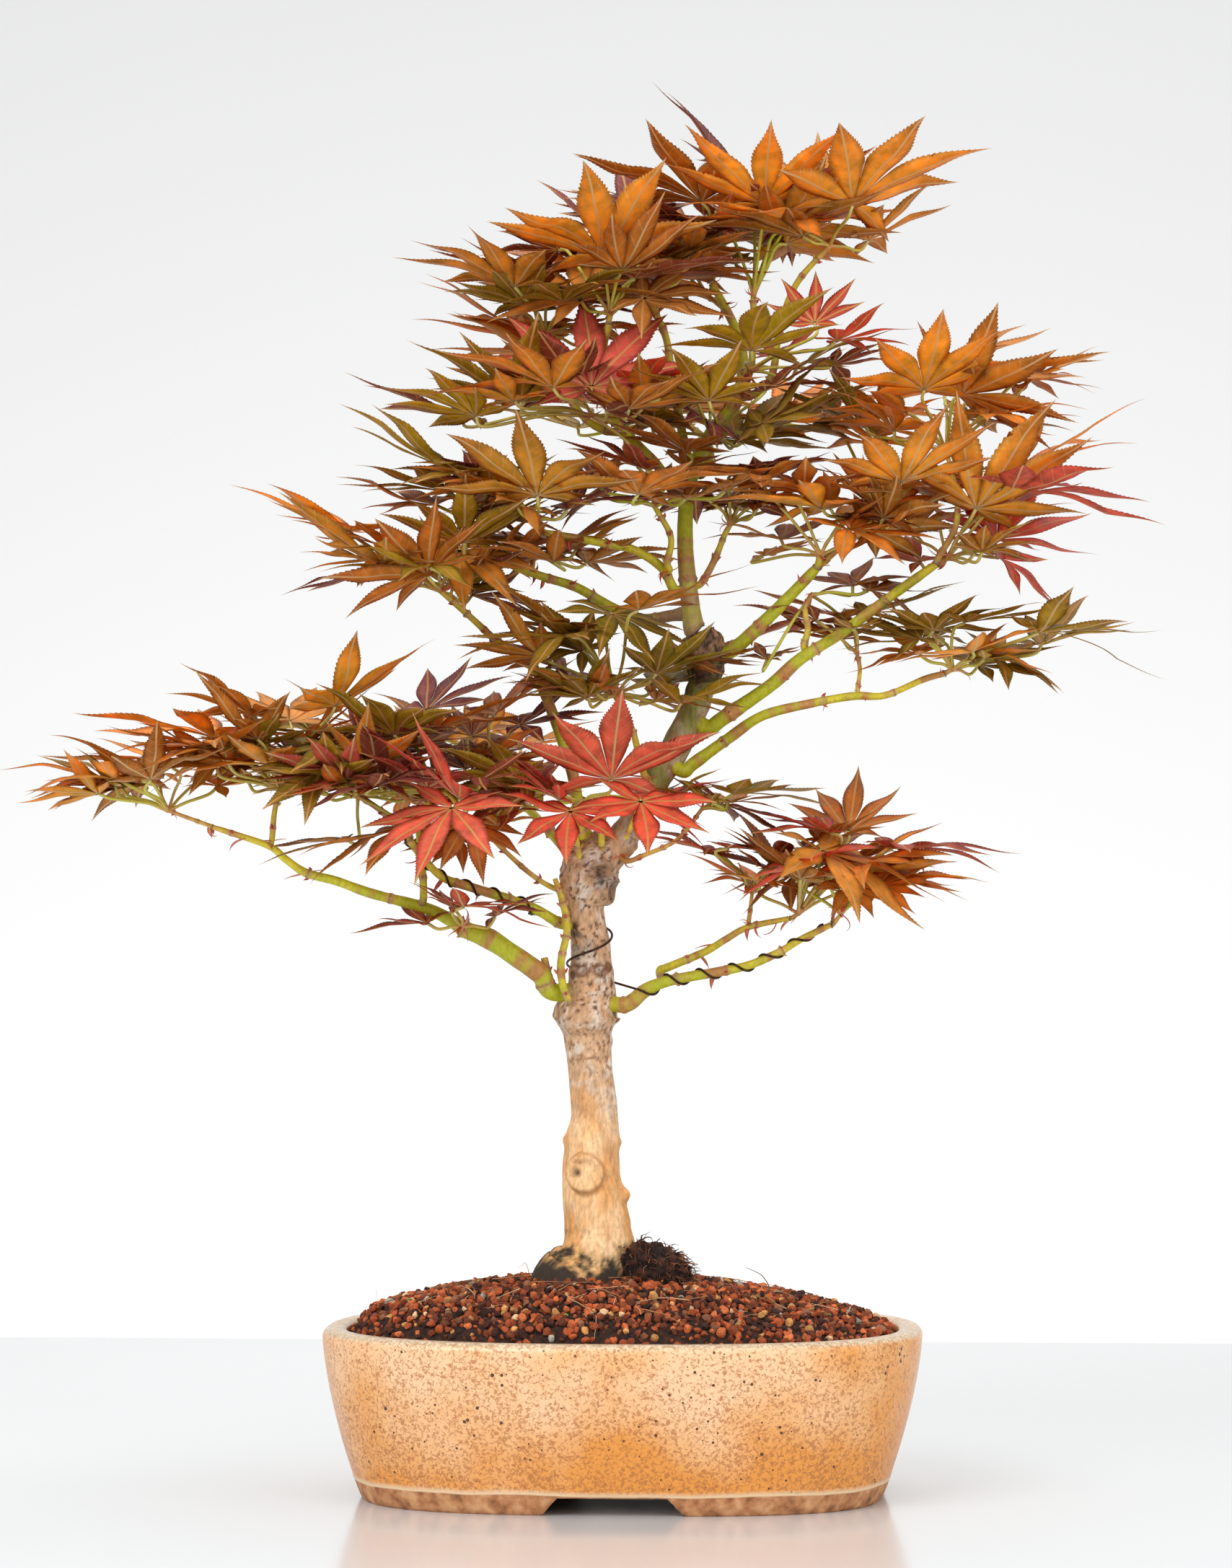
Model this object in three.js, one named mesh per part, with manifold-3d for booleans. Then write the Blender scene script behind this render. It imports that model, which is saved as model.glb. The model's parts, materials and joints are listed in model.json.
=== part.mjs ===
// Japanese maple bonsai in an oval glazed pot.
// Millimetres, +Z up, resting on the feet of the pot. +X is the right of the tree's front view,
// -Y is the front. The origin is under the middle of the whole object's bounding box.
import * as THREE from "three";
import { mergeVertices } from "three/addons/utils/BufferGeometryUtils.js";
import Module from "manifold-3d";

const wasm = await Module();
wasm.setup();

// ---------------------------------------------------------------- driving dimensions

// Pot: an oval dish with a rolled lip, standing on a foot ring that two notches part in two.
const POT_LENGTH = 250;
const POT_DEPTH = 190;
const POT_HEIGHT = 69.5;
const POT_TAPER = 16.8; // how far the foot stands in from the lip, on every side
const POT_WALL = 9;
const POT_LEVELS = [0.29, 0.55, 0.81]; // rings of the outer wall, as shares of the height
const POT_WAIST = 0.58; // ring of the inner wall, likewise
const LIP_ROLL = 3.5;
const LIP_INSIDE = 1.4; // how far the lip's inner edge stands in from the wall's
const CORNER = 2; // fillet between the inner wall and the floor
const FLOOR_TOP = 13;
const FOOT_HEIGHT = 8;
const FOOT_WIDTH = 11;
const NOTCH_WIDTH = 55;
const NOTCH_HEIGHT = 7.3;
const NOTCH_SLOPE = 5.2;
const DRAIN_DIAMETER = 18;
const DRAIN_SPACING = 110;
const SCREEN_SIZE = 30;
const SCREEN_THICKNESS = 1.2;
const SCREEN_SLOT = 8;

// Soil: granules heaped to a low mound around the trunk.
const SOIL_EDGE_DROP = 3; // soil level at the wall, below the lip
const SOIL_MOUND = 19; // top of the mound above the lip
const MOUND_CENTRE_X = -8;
const SOIL_GAP = 0.8; // between the soil and the wall, besides the clearance
const SOCKET_GAP = 0.4; // round the trunk's foot and the tuft, likewise

// Tree: heights are above the lip, and both scales are 1 for the points listed further on.
const TREE_HEIGHT = 478; // highest leaf stalk above the lip
const TREE_SPREAD = 383; // between the outermost leaf stalks
const TREE_TURN = 3.3; // degrees, the tree's front against the pot's long side
const ROOT_DEPTH = 14; // trunk below the lip
const LIMB_THICKNESS = 1; // factor on every listed radius
const BLADE_THICKNESS = 1.2; // at the middle of a leaf, thinning to its edge
const BLADE_SCALE = 1; // factor on every listed leaf length
const BLADE_CUP = 0.16; // rise of the lobes for each millimetre out from the stalk
const STALK_RADIUS = 0.6;
const WIRE_DIAMETER = 1;
const WIRE_STAND = 1.12; // the wire's straight steps would cut into the bark without this factor
const CLEARANCE = 0.35; // between two pieces that meet

const DESIGN_HEIGHT = 478;
const DESIGN_SPREAD = 383;
const RISE = TREE_HEIGHT / DESIGN_HEIGHT;
const REACH = TREE_SPREAD / DESIGN_SPREAD;

// ---------------------------------------------------------------- materials

function finish(color, roughness, metalness = 0) {
  return new THREE.MeshStandardMaterial({ color, roughness, metalness });
}

const GLAZE = finish(0xc08a5c, 0.35);
const SOIL = finish(0x4a2f22, 0.95);
const MESH_PLASTIC = finish(0x23201d, 0.6);
const ROOT = finish(0x2b1c14, 0.95);
const BARK = finish(0xb08a63, 0.9);
const GREEN_WOOD = finish(0x9aa13a, 0.6);
const WIRE = finish(0x3a2a20, 0.45, 0.8);
const LEAF_TONES = {
  orange: finish(0xb5692a, 0.6),
  olive: finish(0x7a5c22, 0.6),
  brown: finish(0x6e3420, 0.6),
  red: finish(0xa5443c, 0.6),
};

// ---------------------------------------------------------------- solids

/** A BufferGeometry from a list of points and a list of triangles. */
function surface(points, triangles) {
  const geometry = new THREE.BufferGeometry();
  geometry.setAttribute("position", new THREE.Float32BufferAttribute(points.flatMap((p) => p.toArray()), 3));
  geometry.setIndex(triangles.flat());
  return geometry;
}

/** A closed skin over rings of equal counts, closed at both ends by a fan around a middle point. */
function skin(rings, first, last) {
  const sides = rings[0].length;
  const points = [first, ...rings.flat(), last];
  const triangles = [];
  const vertex = (ring, side) => 1 + ring * sides + (side % sides);
  for (let side = 0; side < sides; side += 1) {
    triangles.push([0, vertex(0, side + 1), vertex(0, side)]);
    for (let ring = 0; ring + 1 < rings.length; ring += 1) {
      triangles.push([vertex(ring, side), vertex(ring, side + 1), vertex(ring + 1, side + 1)]);
      triangles.push([vertex(ring, side), vertex(ring + 1, side + 1), vertex(ring + 1, side)]);
    }
    triangles.push([points.length - 1, vertex(rings.length - 1, side), vertex(rings.length - 1, side + 1)]);
  }
  return surface(points, triangles);
}

/** A closed geometry as a manifold solid. */
function solid(geometry) {
  const bare = geometry.clone();
  bare.deleteAttribute("normal");
  bare.deleteAttribute("uv");
  const merged = mergeVertices(bare, 1e-4);
  const mesh = new wasm.Mesh({
    numProp: 3,
    vertProperties: new Float32Array(merged.attributes.position.array),
    triVerts: new Uint32Array(merged.index.array),
  });
  return new wasm.Manifold(mesh);
}

/** A manifold solid back as a geometry. */
function geometryOf(body) {
  const mesh = body.getMesh();
  const geometry = new THREE.BufferGeometry();
  geometry.setAttribute("position", new THREE.BufferAttribute(mesh.vertProperties.slice(), 3));
  geometry.setIndex(new THREE.BufferAttribute(mesh.triVerts.slice(), 1));
  return geometry;
}

/** The rings of a tube of varying radius through points, kept from twisting along the way. */
function limbRings(stations, sides) {
  const middles = stations.map((station) => station.point);
  let across = new THREE.Vector3(0, 1, 0);
  return stations.map((station, i) => {
    const before = middles[Math.max(i - 1, 0)];
    const after = middles[Math.min(i + 1, middles.length - 1)];
    const along = after.clone().sub(before).normalize();
    across = across.clone().addScaledVector(along, -across.dot(along)).normalize();
    const other = along.clone().cross(across);
    const ring = [];
    for (let side = 0; side < sides; side += 1) {
      const angle = (2 * Math.PI * side) / sides;
      const point = middles[i].clone();
      point.addScaledVector(across, station.radius * Math.cos(angle));
      point.addScaledVector(other, station.radius * Math.sin(angle));
      ring.push(point);
    }
    return ring;
  });
}

/** The tube itself. */
function limb(stations, sides) {
  const ends = [stations[0].point.clone(), stations[stations.length - 1].point.clone()];
  return skin(limbRings(stations, sides), ...ends);
}

/** The room for a limb with a gap round it, a convex piece for each stretch, so that no bend folds it. */
function roomRound(stations, sides, gap) {
  const padded = stations.map((s) => ({ point: s.point.clone(), radius: s.radius + gap }));
  padded[0].point.z -= CLEARANCE;
  const rings = limbRings(padded, sides).map((ring) => ring.map((point) => point.toArray()));
  const pieces = rings.slice(1).map((ring, i) => wasm.Manifold.hull([...rings[i], ...ring]));
  return wasm.Manifold.union(pieces);
}

/** A point of the tree, from its front view: x right, y back, z above the lip. */
function treePoint(x, y, z) {
  const turn = THREE.MathUtils.degToRad(TREE_TURN);
  const point = new THREE.Vector3(x * REACH, y * REACH, z * RISE);
  point.applyAxisAngle(new THREE.Vector3(0, 0, 1), turn);
  point.z += POT_HEIGHT;
  return point;
}

/** Listed [x, y, z, radius] rows as stations of a limb. */
function stationsOf(rows) {
  return rows.map(([x, y, z, radius]) => ({ point: treePoint(x, y, z), radius: radius * LIMB_THICKNESS }));
}

// ---------------------------------------------------------------- the pieces that are placed

const group = new THREE.Group();
const placed = []; // { name, body, box }

function boxOf(body) {
  const bounds = body.boundingBox();
  return new THREE.Box3(new THREE.Vector3(...bounds.min), new THREE.Vector3(...bounds.max));
}

function place(name, body, material) {
  placed.push({ name, body, box: boxOf(body) });
  const mesh = new THREE.Mesh(geometryOf(body), material);
  mesh.name = name;
  group.add(mesh);
  return body;
}

/** How much of a body lies inside pieces that are already placed. */
function clash(body, others = placed) {
  const box = boxOf(body);
  let volume = 0;
  for (const other of others) {
    if (box.intersectsBox(other.box)) {
      volume += other.body.intersect(body).volume();
    }
  }
  return volume;
}

// ---------------------------------------------------------------- pot

const POT_SEGMENTS = 40;
const FOOT_SQUARENESS = 3; // exponent of the plan's superellipse at the foot and at the lip
const LIP_SQUARENESS = 2.5;

/** One level of the pot: a superellipse inset from the lip's outline. */
function potRing(inset, z) {
  const mix = THREE.MathUtils.clamp(z / POT_HEIGHT, 0, 1);
  const power = 2 / THREE.MathUtils.lerp(FOOT_SQUARENESS, LIP_SQUARENESS, mix);
  const ring = [];
  for (let i = 0; i < POT_SEGMENTS; i += 1) {
    const angle = (2 * Math.PI * i) / POT_SEGMENTS;
    const cos = Math.cos(angle);
    const sin = Math.sin(angle);
    const x = Math.sign(cos) * Math.abs(cos) ** power * (POT_LENGTH / 2 - inset);
    const y = Math.sign(sin) * Math.abs(sin) ** power * (POT_DEPTH / 2 - inset);
    ring.push(new THREE.Vector3(x, y, z));
  }
  return ring;
}

/** How far the outer wall stands in from the lip at a height: a gentle outward swell. */
function wallInset(z) {
  const down = 1 - z / POT_HEIGHT;
  return POT_TAPER * down ** 1.55;
}

function makePot() {
  const footInner = wallInset(0) + FOOT_WIDTH;
  const innerWall = (z) => wallInset(z) + POT_WALL;
  const waist = POT_WAIST * POT_HEIGHT;
  const rings = [
    potRing(footInner + 1, FOOT_HEIGHT),
    potRing(footInner, 0),
    potRing(wallInset(0), 0),
    potRing(wallInset(FOOT_HEIGHT), FOOT_HEIGHT),
    ...POT_LEVELS.map((share) => potRing(wallInset(share * POT_HEIGHT), share * POT_HEIGHT)),
    potRing(LIP_ROLL * 0.06, POT_HEIGHT - LIP_ROLL),
    potRing(LIP_ROLL * 0.46, POT_HEIGHT - LIP_ROLL * 0.23),
    potRing(LIP_ROLL * 1.2, POT_HEIGHT),
    potRing(POT_WALL - 1, POT_HEIGHT),
    potRing(POT_WALL + LIP_INSIDE, POT_HEIGHT - LIP_ROLL * 0.46),
    potRing(innerWall(waist), waist),
    potRing(innerWall(FLOOR_TOP) + CORNER, FLOOR_TOP),
  ];
  const under = new THREE.Vector3(0, 0, FOOT_HEIGHT);
  const floor = new THREE.Vector3(0, 0, FLOOR_TOP);
  let pot = solid(skin(rings, under, floor));

  const notch = new THREE.Shape([
    new THREE.Vector2(-NOTCH_WIDTH / 2 - NOTCH_SLOPE, -NOTCH_SLOPE),
    new THREE.Vector2(NOTCH_WIDTH / 2 + NOTCH_SLOPE, -NOTCH_SLOPE),
    new THREE.Vector2(NOTCH_WIDTH / 2 - NOTCH_SLOPE, NOTCH_HEIGHT),
    new THREE.Vector2(-NOTCH_WIDTH / 2 + NOTCH_SLOPE, NOTCH_HEIGHT),
  ]);
  const cutter = new THREE.ExtrudeGeometry(notch, { depth: POT_DEPTH, bevelEnabled: false });
  cutter.rotateX(Math.PI / 2);
  cutter.translate(0, POT_DEPTH / 2, 0);
  pot = pot.subtract(solid(cutter));

  for (const side of [-1, 1]) {
    const drain = new THREE.CylinderGeometry(DRAIN_DIAMETER / 2, DRAIN_DIAMETER / 2, FLOOR_TOP * 2, 12);
    drain.rotateX(Math.PI / 2);
    drain.translate((side * DRAIN_SPACING) / 2, 0, FLOOR_TOP);
    pot = pot.subtract(solid(drain));
  }
  return pot;
}

place("pot", makePot(), GLAZE);

// ---------------------------------------------------------------- drainage screens

function makeScreen(side) {
  const lift = FLOOR_TOP + CLEARANCE + SCREEN_THICKNESS / 2;
  const plate = new THREE.BoxGeometry(SCREEN_SIZE, SCREEN_SIZE, SCREEN_THICKNESS);
  plate.translate((side * DRAIN_SPACING) / 2, 0, lift);
  let screen = solid(plate);
  const step = SCREEN_SLOT + 2;
  for (const row of [-0.5, 0.5]) {
    for (const column of [-0.5, 0.5]) {
      const slot = new THREE.BoxGeometry(SCREEN_SLOT, SCREEN_SLOT, SCREEN_THICKNESS * 3);
      slot.translate((side * DRAIN_SPACING) / 2 + column * step, row * step, lift);
      screen = screen.subtract(solid(slot));
    }
  }
  return screen;
}

place("drainage_screen_left", makeScreen(-1), MESH_PLASTIC);
place("drainage_screen_right", makeScreen(1), MESH_PLASTIC);

// ---------------------------------------------------------------- trunk

// Front view of the old wood, from below the soil to the knob where the young leader starts.
const TRUNK_ROWS = [
  [-17, 0, 13, 22],
  [-14.5, 0, 20, 19.5],
  [-10.5, 0, 29, 16],
  [-10.6, 1, 40, 14],
  [-12, 1, 50, 13],
  [-13.5, 2, 63, 12],
  [-13.3, 2, 75, 11.3],
  [-12.3, 3, 89, 9.6],
  [-14, 4, 108, 9.1],
  [-15, 4, 120, 9.7],
  [-15.2, 3, 129, 13.6],
  [-13.5, 3, 137, 10.2],
  [-13.6, 3, 155, 8.5],
  [-14.7, 2, 166, 7.8],
  [-16.2, 1, 175, 8.2],
  [-15, 0, 181, 11],
  [-13.8, 0, 189, 12.3],
  [-9.5, -1, 196, 10.4],
  [-1.5, -2, 202, 6.6],
  [6.2, -3, 213, 5.6],
  [13.7, -4, 227, 5.6],
  [21.3, -5, 240, 6.1],
  [29.5, -5, 256, 5.8],
  [32.2, -5, 266, 5.7],
  [34.3, -5, 273.5, 7.4],
  [33.4, -5, 283, 9.4],
  [31.3, -5, 289, 7.2],
];
const TRUNK_SIDES = 10;
const trunkStations = stationsOf(TRUNK_ROWS);
const rootEnd = trunkStations[0].point.clone();
rootEnd.z = POT_HEIGHT - ROOT_DEPTH;
trunkStations.unshift({ point: rootEnd, radius: trunkStations[0].radius + 3 });
place("trunk", solid(limb(trunkStations, TRUNK_SIDES)), BARK);

// A tuft of fine roots stands out of the soil beside the trunk's foot.
const TUFT = { gap: 4, y: -7, radius: 9.5, height: 21, sides: 8 };
const [footX, , , footRadius] = TRUNK_ROWS[0];
const tuftX = footX + ((footRadius + TUFT.radius) * LIMB_THICKNESS) / REACH + TUFT.gap;
const tuftRows = [
  [tuftX, TUFT.y, 10, TUFT.radius],
  [tuftX, TUFT.y, 20, TUFT.radius * 0.9],
  [tuftX - 1, TUFT.y, 10 + TUFT.height * 0.8, TUFT.radius * 0.7],
  [tuftX - 2, TUFT.y, 10 + TUFT.height, TUFT.radius * 0.35],
];
const tuftStations = stationsOf(tuftRows);

// ---------------------------------------------------------------- soil

const SOIL_RINGS = [0.2, 0.4, 0.6, 0.8, 0.93];

/** Height of the soil above the lip's level at a place in the pot. */
function soilRise(x, y) {
  const across = (x - MOUND_CENTRE_X) / (POT_LENGTH / 2);
  const along = y / (POT_DEPTH / 2);
  const out = Math.min(Math.hypot(across, along), 1);
  const swell = Math.cos((out * Math.PI) / 2) ** 0.8;
  return SOIL_MOUND * swell;
}

function makeSoil() {
  const edgeZ = POT_HEIGHT - SOIL_EDGE_DROP;
  const waist = POT_WAIST * POT_HEIGHT;
  const wallGap = CLEARANCE + SOIL_GAP;
  const rimInset = POT_WALL + LIP_INSIDE + wallGap;
  const floorInset = wallInset(FLOOR_TOP) + POT_WALL + CORNER + wallGap;
  const rings = [
    potRing(floorInset, FLOOR_TOP + CLEARANCE),
    potRing(wallInset(waist) + POT_WALL + wallGap, waist),
    potRing(rimInset, edgeZ),
  ];
  for (const share of [...SOIL_RINGS].reverse()) {
    rings.push(potRing(rimInset, edgeZ).map((edge) => {
      const x = edge.x * share;
      const y = edge.y * share;
      return new THREE.Vector3(x, y, edgeZ + soilRise(x, y) + SOIL_EDGE_DROP * (1 - share ** 4));
    }));
  }
  const top = new THREE.Vector3(0, 0, POT_HEIGHT + soilRise(0, 0));
  let soil = solid(skin(rings, new THREE.Vector3(0, 0, FLOOR_TOP + CLEARANCE), top));

  // Sockets for the trunk's foot, the tuft and the screens.
  for (const [stations, sides] of [[trunkStations, TRUNK_SIDES], [tuftStations, TUFT.sides]]) {
    soil = soil.subtract(roomRound(stations, sides, CLEARANCE + SOCKET_GAP));
  }
  for (const side of [-1, 1]) {
    const size = SCREEN_SIZE + 2 * CLEARANCE;
    const depth = 2 * (SCREEN_THICKNESS + 2 * CLEARANCE);
    const pocket = new THREE.BoxGeometry(size, size, depth);
    pocket.translate((side * DRAIN_SPACING) / 2, 0, FLOOR_TOP);
    soil = soil.subtract(solid(pocket));
  }
  return soil;
}

place("soil_bed", makeSoil(), SOIL);
place("root_tuft", solid(limb(tuftStations, TUFT.sides)), ROOT);

// ---------------------------------------------------------------- boughs

// Young green wood, each row [x, y, z, radius] from its foot on the older wood to its tip.
const BOUGHS = {
  leader: [
    [29.5, -5, 292, 4.9], [27.5, -6, 307, 4.1], [26, -6, 325, 3.7], [26.5, -4, 343, 3.6],
    [30, 0, 360, 3.5], [38, 2, 375, 3.3], [47, 3, 386, 3], [50.4, 4, 400, 2.7],
    [49.5, 5, 413, 2.3], [44.6, 6, 425, 2], [37.5, 6, 438, 1.7],
  ],
  bough_upper_left: [
    [23, -8, 345, 2.6], [15.2, -16, 357, 2.4], [6, -24, 366, 2.2], [-3, -30, 375, 2],
    [-6.9, -32, 391, 1.8], [-8.1, -32, 405, 1.7], [-6, -32, 415, 1.5],
  ],
  bough_mid_left: [
    [22, -9, 306, 2.4], [16, -12, 316, 2.2], [4.6, -16, 323, 2.1], [-6, -20, 325, 2],
    [-19.6, -26, 327, 1.8], [-33.2, -30, 329, 1.5],
  ],
  bough_mossy_left: [
    [21, 2, 297, 2.7], [7.7, 8, 296, 2.5], [-5, 8, 301, 2.4], [-19.6, 5, 309, 2.2],
    [-33.2, 0, 313, 2], [-45.4, -5, 317, 1.9], [-56, -8, 324, 1.7], [-63.5, -12, 331, 1.5],
  ],
  bough_left_high: [
    [-17, -6, 207, 2.9], [-19, -8, 218, 2.8], [-21.4, -8, 231, 2.7], [-26.6, -8, 247, 2.6],
    [-32.6, -8, 263, 2.4], [-38.4, -10, 276, 2.2], [-47.5, -12, 282, 1.9], [-54, -14, 286, 1.7],
  ],
  bough_right_low: [
    [23, -9, 229, 3.3], [29.2, -10, 234, 3], [44, -12, 244.6, 2.6], [58.3, -14, 254, 2.3],
    [78.3, -15, 259, 2], [95.8, -16, 262, 1.9], [109, -16, 262.3, 1.6], [125.2, -16, 269, 1.5],
    [133.4, -16, 271.3, 1.4],
  ],
  bough_right_high: [
    [35.5, -8, 249, 3.9], [41.6, -10, 253, 3.5], [61.6, -14, 266.7, 3.1], [74, -17, 277.6, 2.9],
    [91, -20, 288.3, 2.5], [110, -24, 302.2, 2.3], [125.2, -27, 313, 2.1], [129.5, -28, 316, 1.8],
  ],
  bough_centre_right: [
    [43.5, -6, 280, 3.4], [61.6, -12, 296, 3], [77, -18, 311.6, 2.5], [80.4, -20, 315.2, 2.1],
  ],
  bough_low_left: [
    [-30, -4, 139, 4.2], [-34, -6, 145.5, 4.6], [-38.4, -8, 149.2, 4.6], [-45.4, -9, 154, 4.6],
    [-56, -10, 161, 4.8], [-65.4, -11, 164.6, 4], [-72.3, -12, 169, 3.1], [-83, -13, 174, 2.7],
    [-105.3, -15, 180, 2.3], [-119.3, -16, 185, 2.1], [-131.7, -17, 188.3, 2], [-140.2, -18, 194, 1.8],
    [-147.2, -18, 199.5, 1.6], [-164.7, -18, 205.5, 1.3], [-170.5, -18, 207.4, 1.1],
  ],
  shoot_low_left_up: [
    [-83, -16, 178.5, 1.8], [-83.5, -17, 192, 1.7], [-84.7, -19, 208, 1.6], [-80.2, -24, 217.7, 1.4],
  ],
  bough_wired_left: [
    [-25, -2, 167, 2.5], [-36, -8, 173, 2.4], [-48, -12, 177.6, 2.3], [-62, -16, 182, 2.1],
    [-74, -22, 186, 1.9], [-81, -25, 192.2, 1.8], [-88, -26, 201, 1.7], [-94.1, -27, 208, 1.5],
  ],
  bough_low_right: [
    [1, -4, 133.5, 3.6], [8.9, -6, 139.2, 3.2], [16.5, -8, 142.8, 2.7], [27.4, -10, 145.2, 2.4],
    [38.3, -12, 147, 2.2], [52.2, -14, 150, 2], [64.3, -16, 155.2, 1.8], [73.7, -17, 160.7, 1.6],
    [81.6, -18, 164.6, 1.5], [86.1, -18, 166.8, 1.3],
  ],
  branch_low_right_upper: [
    [15.5, -3, 147.6, 2.1], [19, -3, 149.2, 2], [34.3, -3, 155.6, 1.8], [42.8, -4, 160.7, 1.6],
    [52.2, -5, 165.8, 1.5], [69.2, -7, 169.5, 1.2],
  ],
  bough_back_low: [
    [-16, 11, 189, 2.8], [-28, 30, 203, 2.4], [-42, 52, 218, 2], [-60, 75, 235, 1.6],
  ],
  bough_back_high: [
    [33, 4, 357, 2.4], [37, 22, 366, 2.1], [36, 46, 376, 1.8], [30, 74, 385, 1.5],
  ],
};
const BOUGH_SIDES = 6;

/** Moves a limb's foot along the limb until the limb stands clear of what is placed. */
function seat(stations, sides, name) {
  const step = 0.5;
  for (let rows = stations; rows.length > 1; rows = rows.slice(1)) {
    const along = rows[1].point.clone().sub(rows[0].point);
    const length = along.length();
    along.normalize();
    for (let moved = 0; moved < length - 1; moved += step) {
      const padded = rows.map((s) => ({ point: s.point.clone(), radius: s.radius + CLEARANCE }));
      padded[0].point.addScaledVector(along, -CLEARANCE);
      if (clash(solid(limb(padded, sides))) === 0) {
        return rows;
      }
      rows[0].point.addScaledVector(along, step);
    }
  }
  throw new Error(`${name} finds no clear seat`);
}

const boughStations = {};
for (const [name, rows] of Object.entries(BOUGHS)) {
  boughStations[name] = seat(stationsOf(rows), BOUGH_SIDES, name);
  place(name, solid(limb(boughStations[name], BOUGH_SIDES)), GREEN_WOOD);
}

// ---------------------------------------------------------------- training wire

/** A point and radius at a share (0 to 1) of a limb's length. */
function alongLimb(stations, share) {
  const lengths = [0];
  for (let i = 1; i < stations.length; i += 1) {
    lengths.push(lengths[i - 1] + stations[i].point.distanceTo(stations[i - 1].point));
  }
  const target = share * lengths[lengths.length - 1];
  let i = 1;
  while (i < stations.length - 1 && lengths[i] < target) {
    i += 1;
  }
  const mix = (target - lengths[i - 1]) / (lengths[i] - lengths[i - 1]);
  const point = stations[i - 1].point.clone().lerp(stations[i].point, mix);
  const radius = THREE.MathUtils.lerp(stations[i - 1].radius, stations[i].radius, mix);
  const axis = stations[i].point.clone().sub(stations[i - 1].point).normalize();
  return { point, radius, axis };
}

const WIRE_SIDES = 5;
const STEPS_PER_TURN = 8;

/** Points of a wire wound on one stretch of a limb. */
function windings(stations, { from, to, turns, phase }) {
  const points = [];
  const steps = Math.round(Math.abs(turns) * STEPS_PER_TURN);
  for (let i = 0; i <= steps; i += 1) {
    const share = THREE.MathUtils.lerp(from, to, i / steps);
    const { point, radius, axis } = alongLimb(stations, share);
    const front = new THREE.Vector3(0, -1, 0).addScaledVector(axis, axis.y).normalize();
    const side = axis.clone().cross(front);
    const angle = phase + (2 * Math.PI * turns * i) / steps;
    const stand = (radius + WIRE_DIAMETER / 2 + CLEARANCE) * WIRE_STAND;
    point.addScaledVector(front, stand * Math.cos(angle));
    point.addScaledVector(side, stand * Math.sin(angle));
    points.push(point);
  }
  return points;
}

function makeWire(points) {
  const path = new THREE.CatmullRomCurve3(points, false, "centripetal");
  const section = new THREE.Shape();
  section.absarc(0, 0, WIRE_DIAMETER / 2, 0, 2 * Math.PI, false);
  const outline = section.getSpacedPoints(WIRE_SIDES).slice(0, WIRE_SIDES);
  const steps = points.length;
  return solid(new THREE.ExtrudeGeometry(new THREE.Shape(outline), { steps, extrudePath: path }));
}

/** The share of a limb's length at which it reaches a height above the lip. */
function shareAtHeight(stations, height) {
  const level = POT_HEIGHT + height * RISE;
  const steps = 200;
  for (let i = 0; i <= steps; i += 1) {
    if (alongLimb(stations, i / steps).point.z >= level) {
      return i / steps;
    }
  }
  throw new Error("the limb stays under that height");
}

// One wire: wound on the low right bough, about one and a half times up round the trunk, then on the
// left bough. Each stretch is the shares of the limb it starts and ends at, its turns, and the angle it
// starts at, from the limb's front.
const WRAP_FROM = 140;
const WRAP_TO = 170;
const RIGHT_STRETCH = { from: 0.08, to: 0.97, turns: 6, phase: -1.2 };
const TRUNK_STRETCH = {
  from: shareAtHeight(trunkStations, WRAP_FROM),
  to: shareAtHeight(trunkStations, WRAP_TO),
  turns: 1.4,
  phase: Math.PI / 2,
};
const LEFT_STRETCH = { from: 0.14, to: 0.93, turns: 5.5, phase: Math.PI };
const wirePoints = [
  ...windings(boughStations.bough_low_right, RIGHT_STRETCH).reverse(),
  ...windings(trunkStations, TRUNK_STRETCH),
  ...windings(boughStations.bough_wired_left, LEFT_STRETCH),
];
place("training_wire", makeWire(wirePoints), WIRE);

// ---------------------------------------------------------------- leaf shoots

// A palmate blade of seven pointed lobes around its stalk: [angle from the middle lobe, share of length].
const LOBES = [
  [-115, 0.46], [-72, 0.78], [-35, 0.95], [0, 1], [35, 0.95], [72, 0.78], [115, 0.46],
];
const NOTCH_SHARE = 0.3; // how far out the notches between the lobes reach
const HEEL_SHARE = 0.07; // and the blade behind its stalk
const STALK_SIDES = 3;
const STALK_SEAT = { back: 1, down: 0.12 }; // where the stalk meets the blade: behind the middle, and
// under it by a share of its thickness
const STALK_LEAVES = { back: 5, down: 3 }; // the stalk's last bend, behind and under the blade

/** Axes of a blade: forward along the middle lobe, left across it, up out of its upper face. */
function bladeAxes(heading, pitch, bank) {
  const axes = new THREE.Matrix4().makeRotationZ(THREE.MathUtils.degToRad(heading + TREE_TURN));
  axes.multiply(new THREE.Matrix4().makeRotationY(THREE.MathUtils.degToRad(-pitch)));
  axes.multiply(new THREE.Matrix4().makeRotationX(THREE.MathUtils.degToRad(bank)));
  return axes;
}

/** The rim of a blade, in its own axes. */
function bladeRim(length) {
  const rim = [];
  const rimPoint = (degrees, share) => {
    const angle = THREE.MathUtils.degToRad(degrees);
    const out = share * length;
    rim.push(new THREE.Vector3(out * Math.cos(angle), out * Math.sin(angle), out * BLADE_CUP));
  };
  LOBES.forEach(([degrees, share], i) => {
    rimPoint(degrees, share);
    if (i + 1 < LOBES.length) {
      const [next, nextShare] = LOBES[i + 1];
      rimPoint((degrees + next) / 2, NOTCH_SHARE * Math.min(share, nextShare) ** 0.5);
    }
  });
  rimPoint(180, HEEL_SHARE);
  return rim;
}

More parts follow.
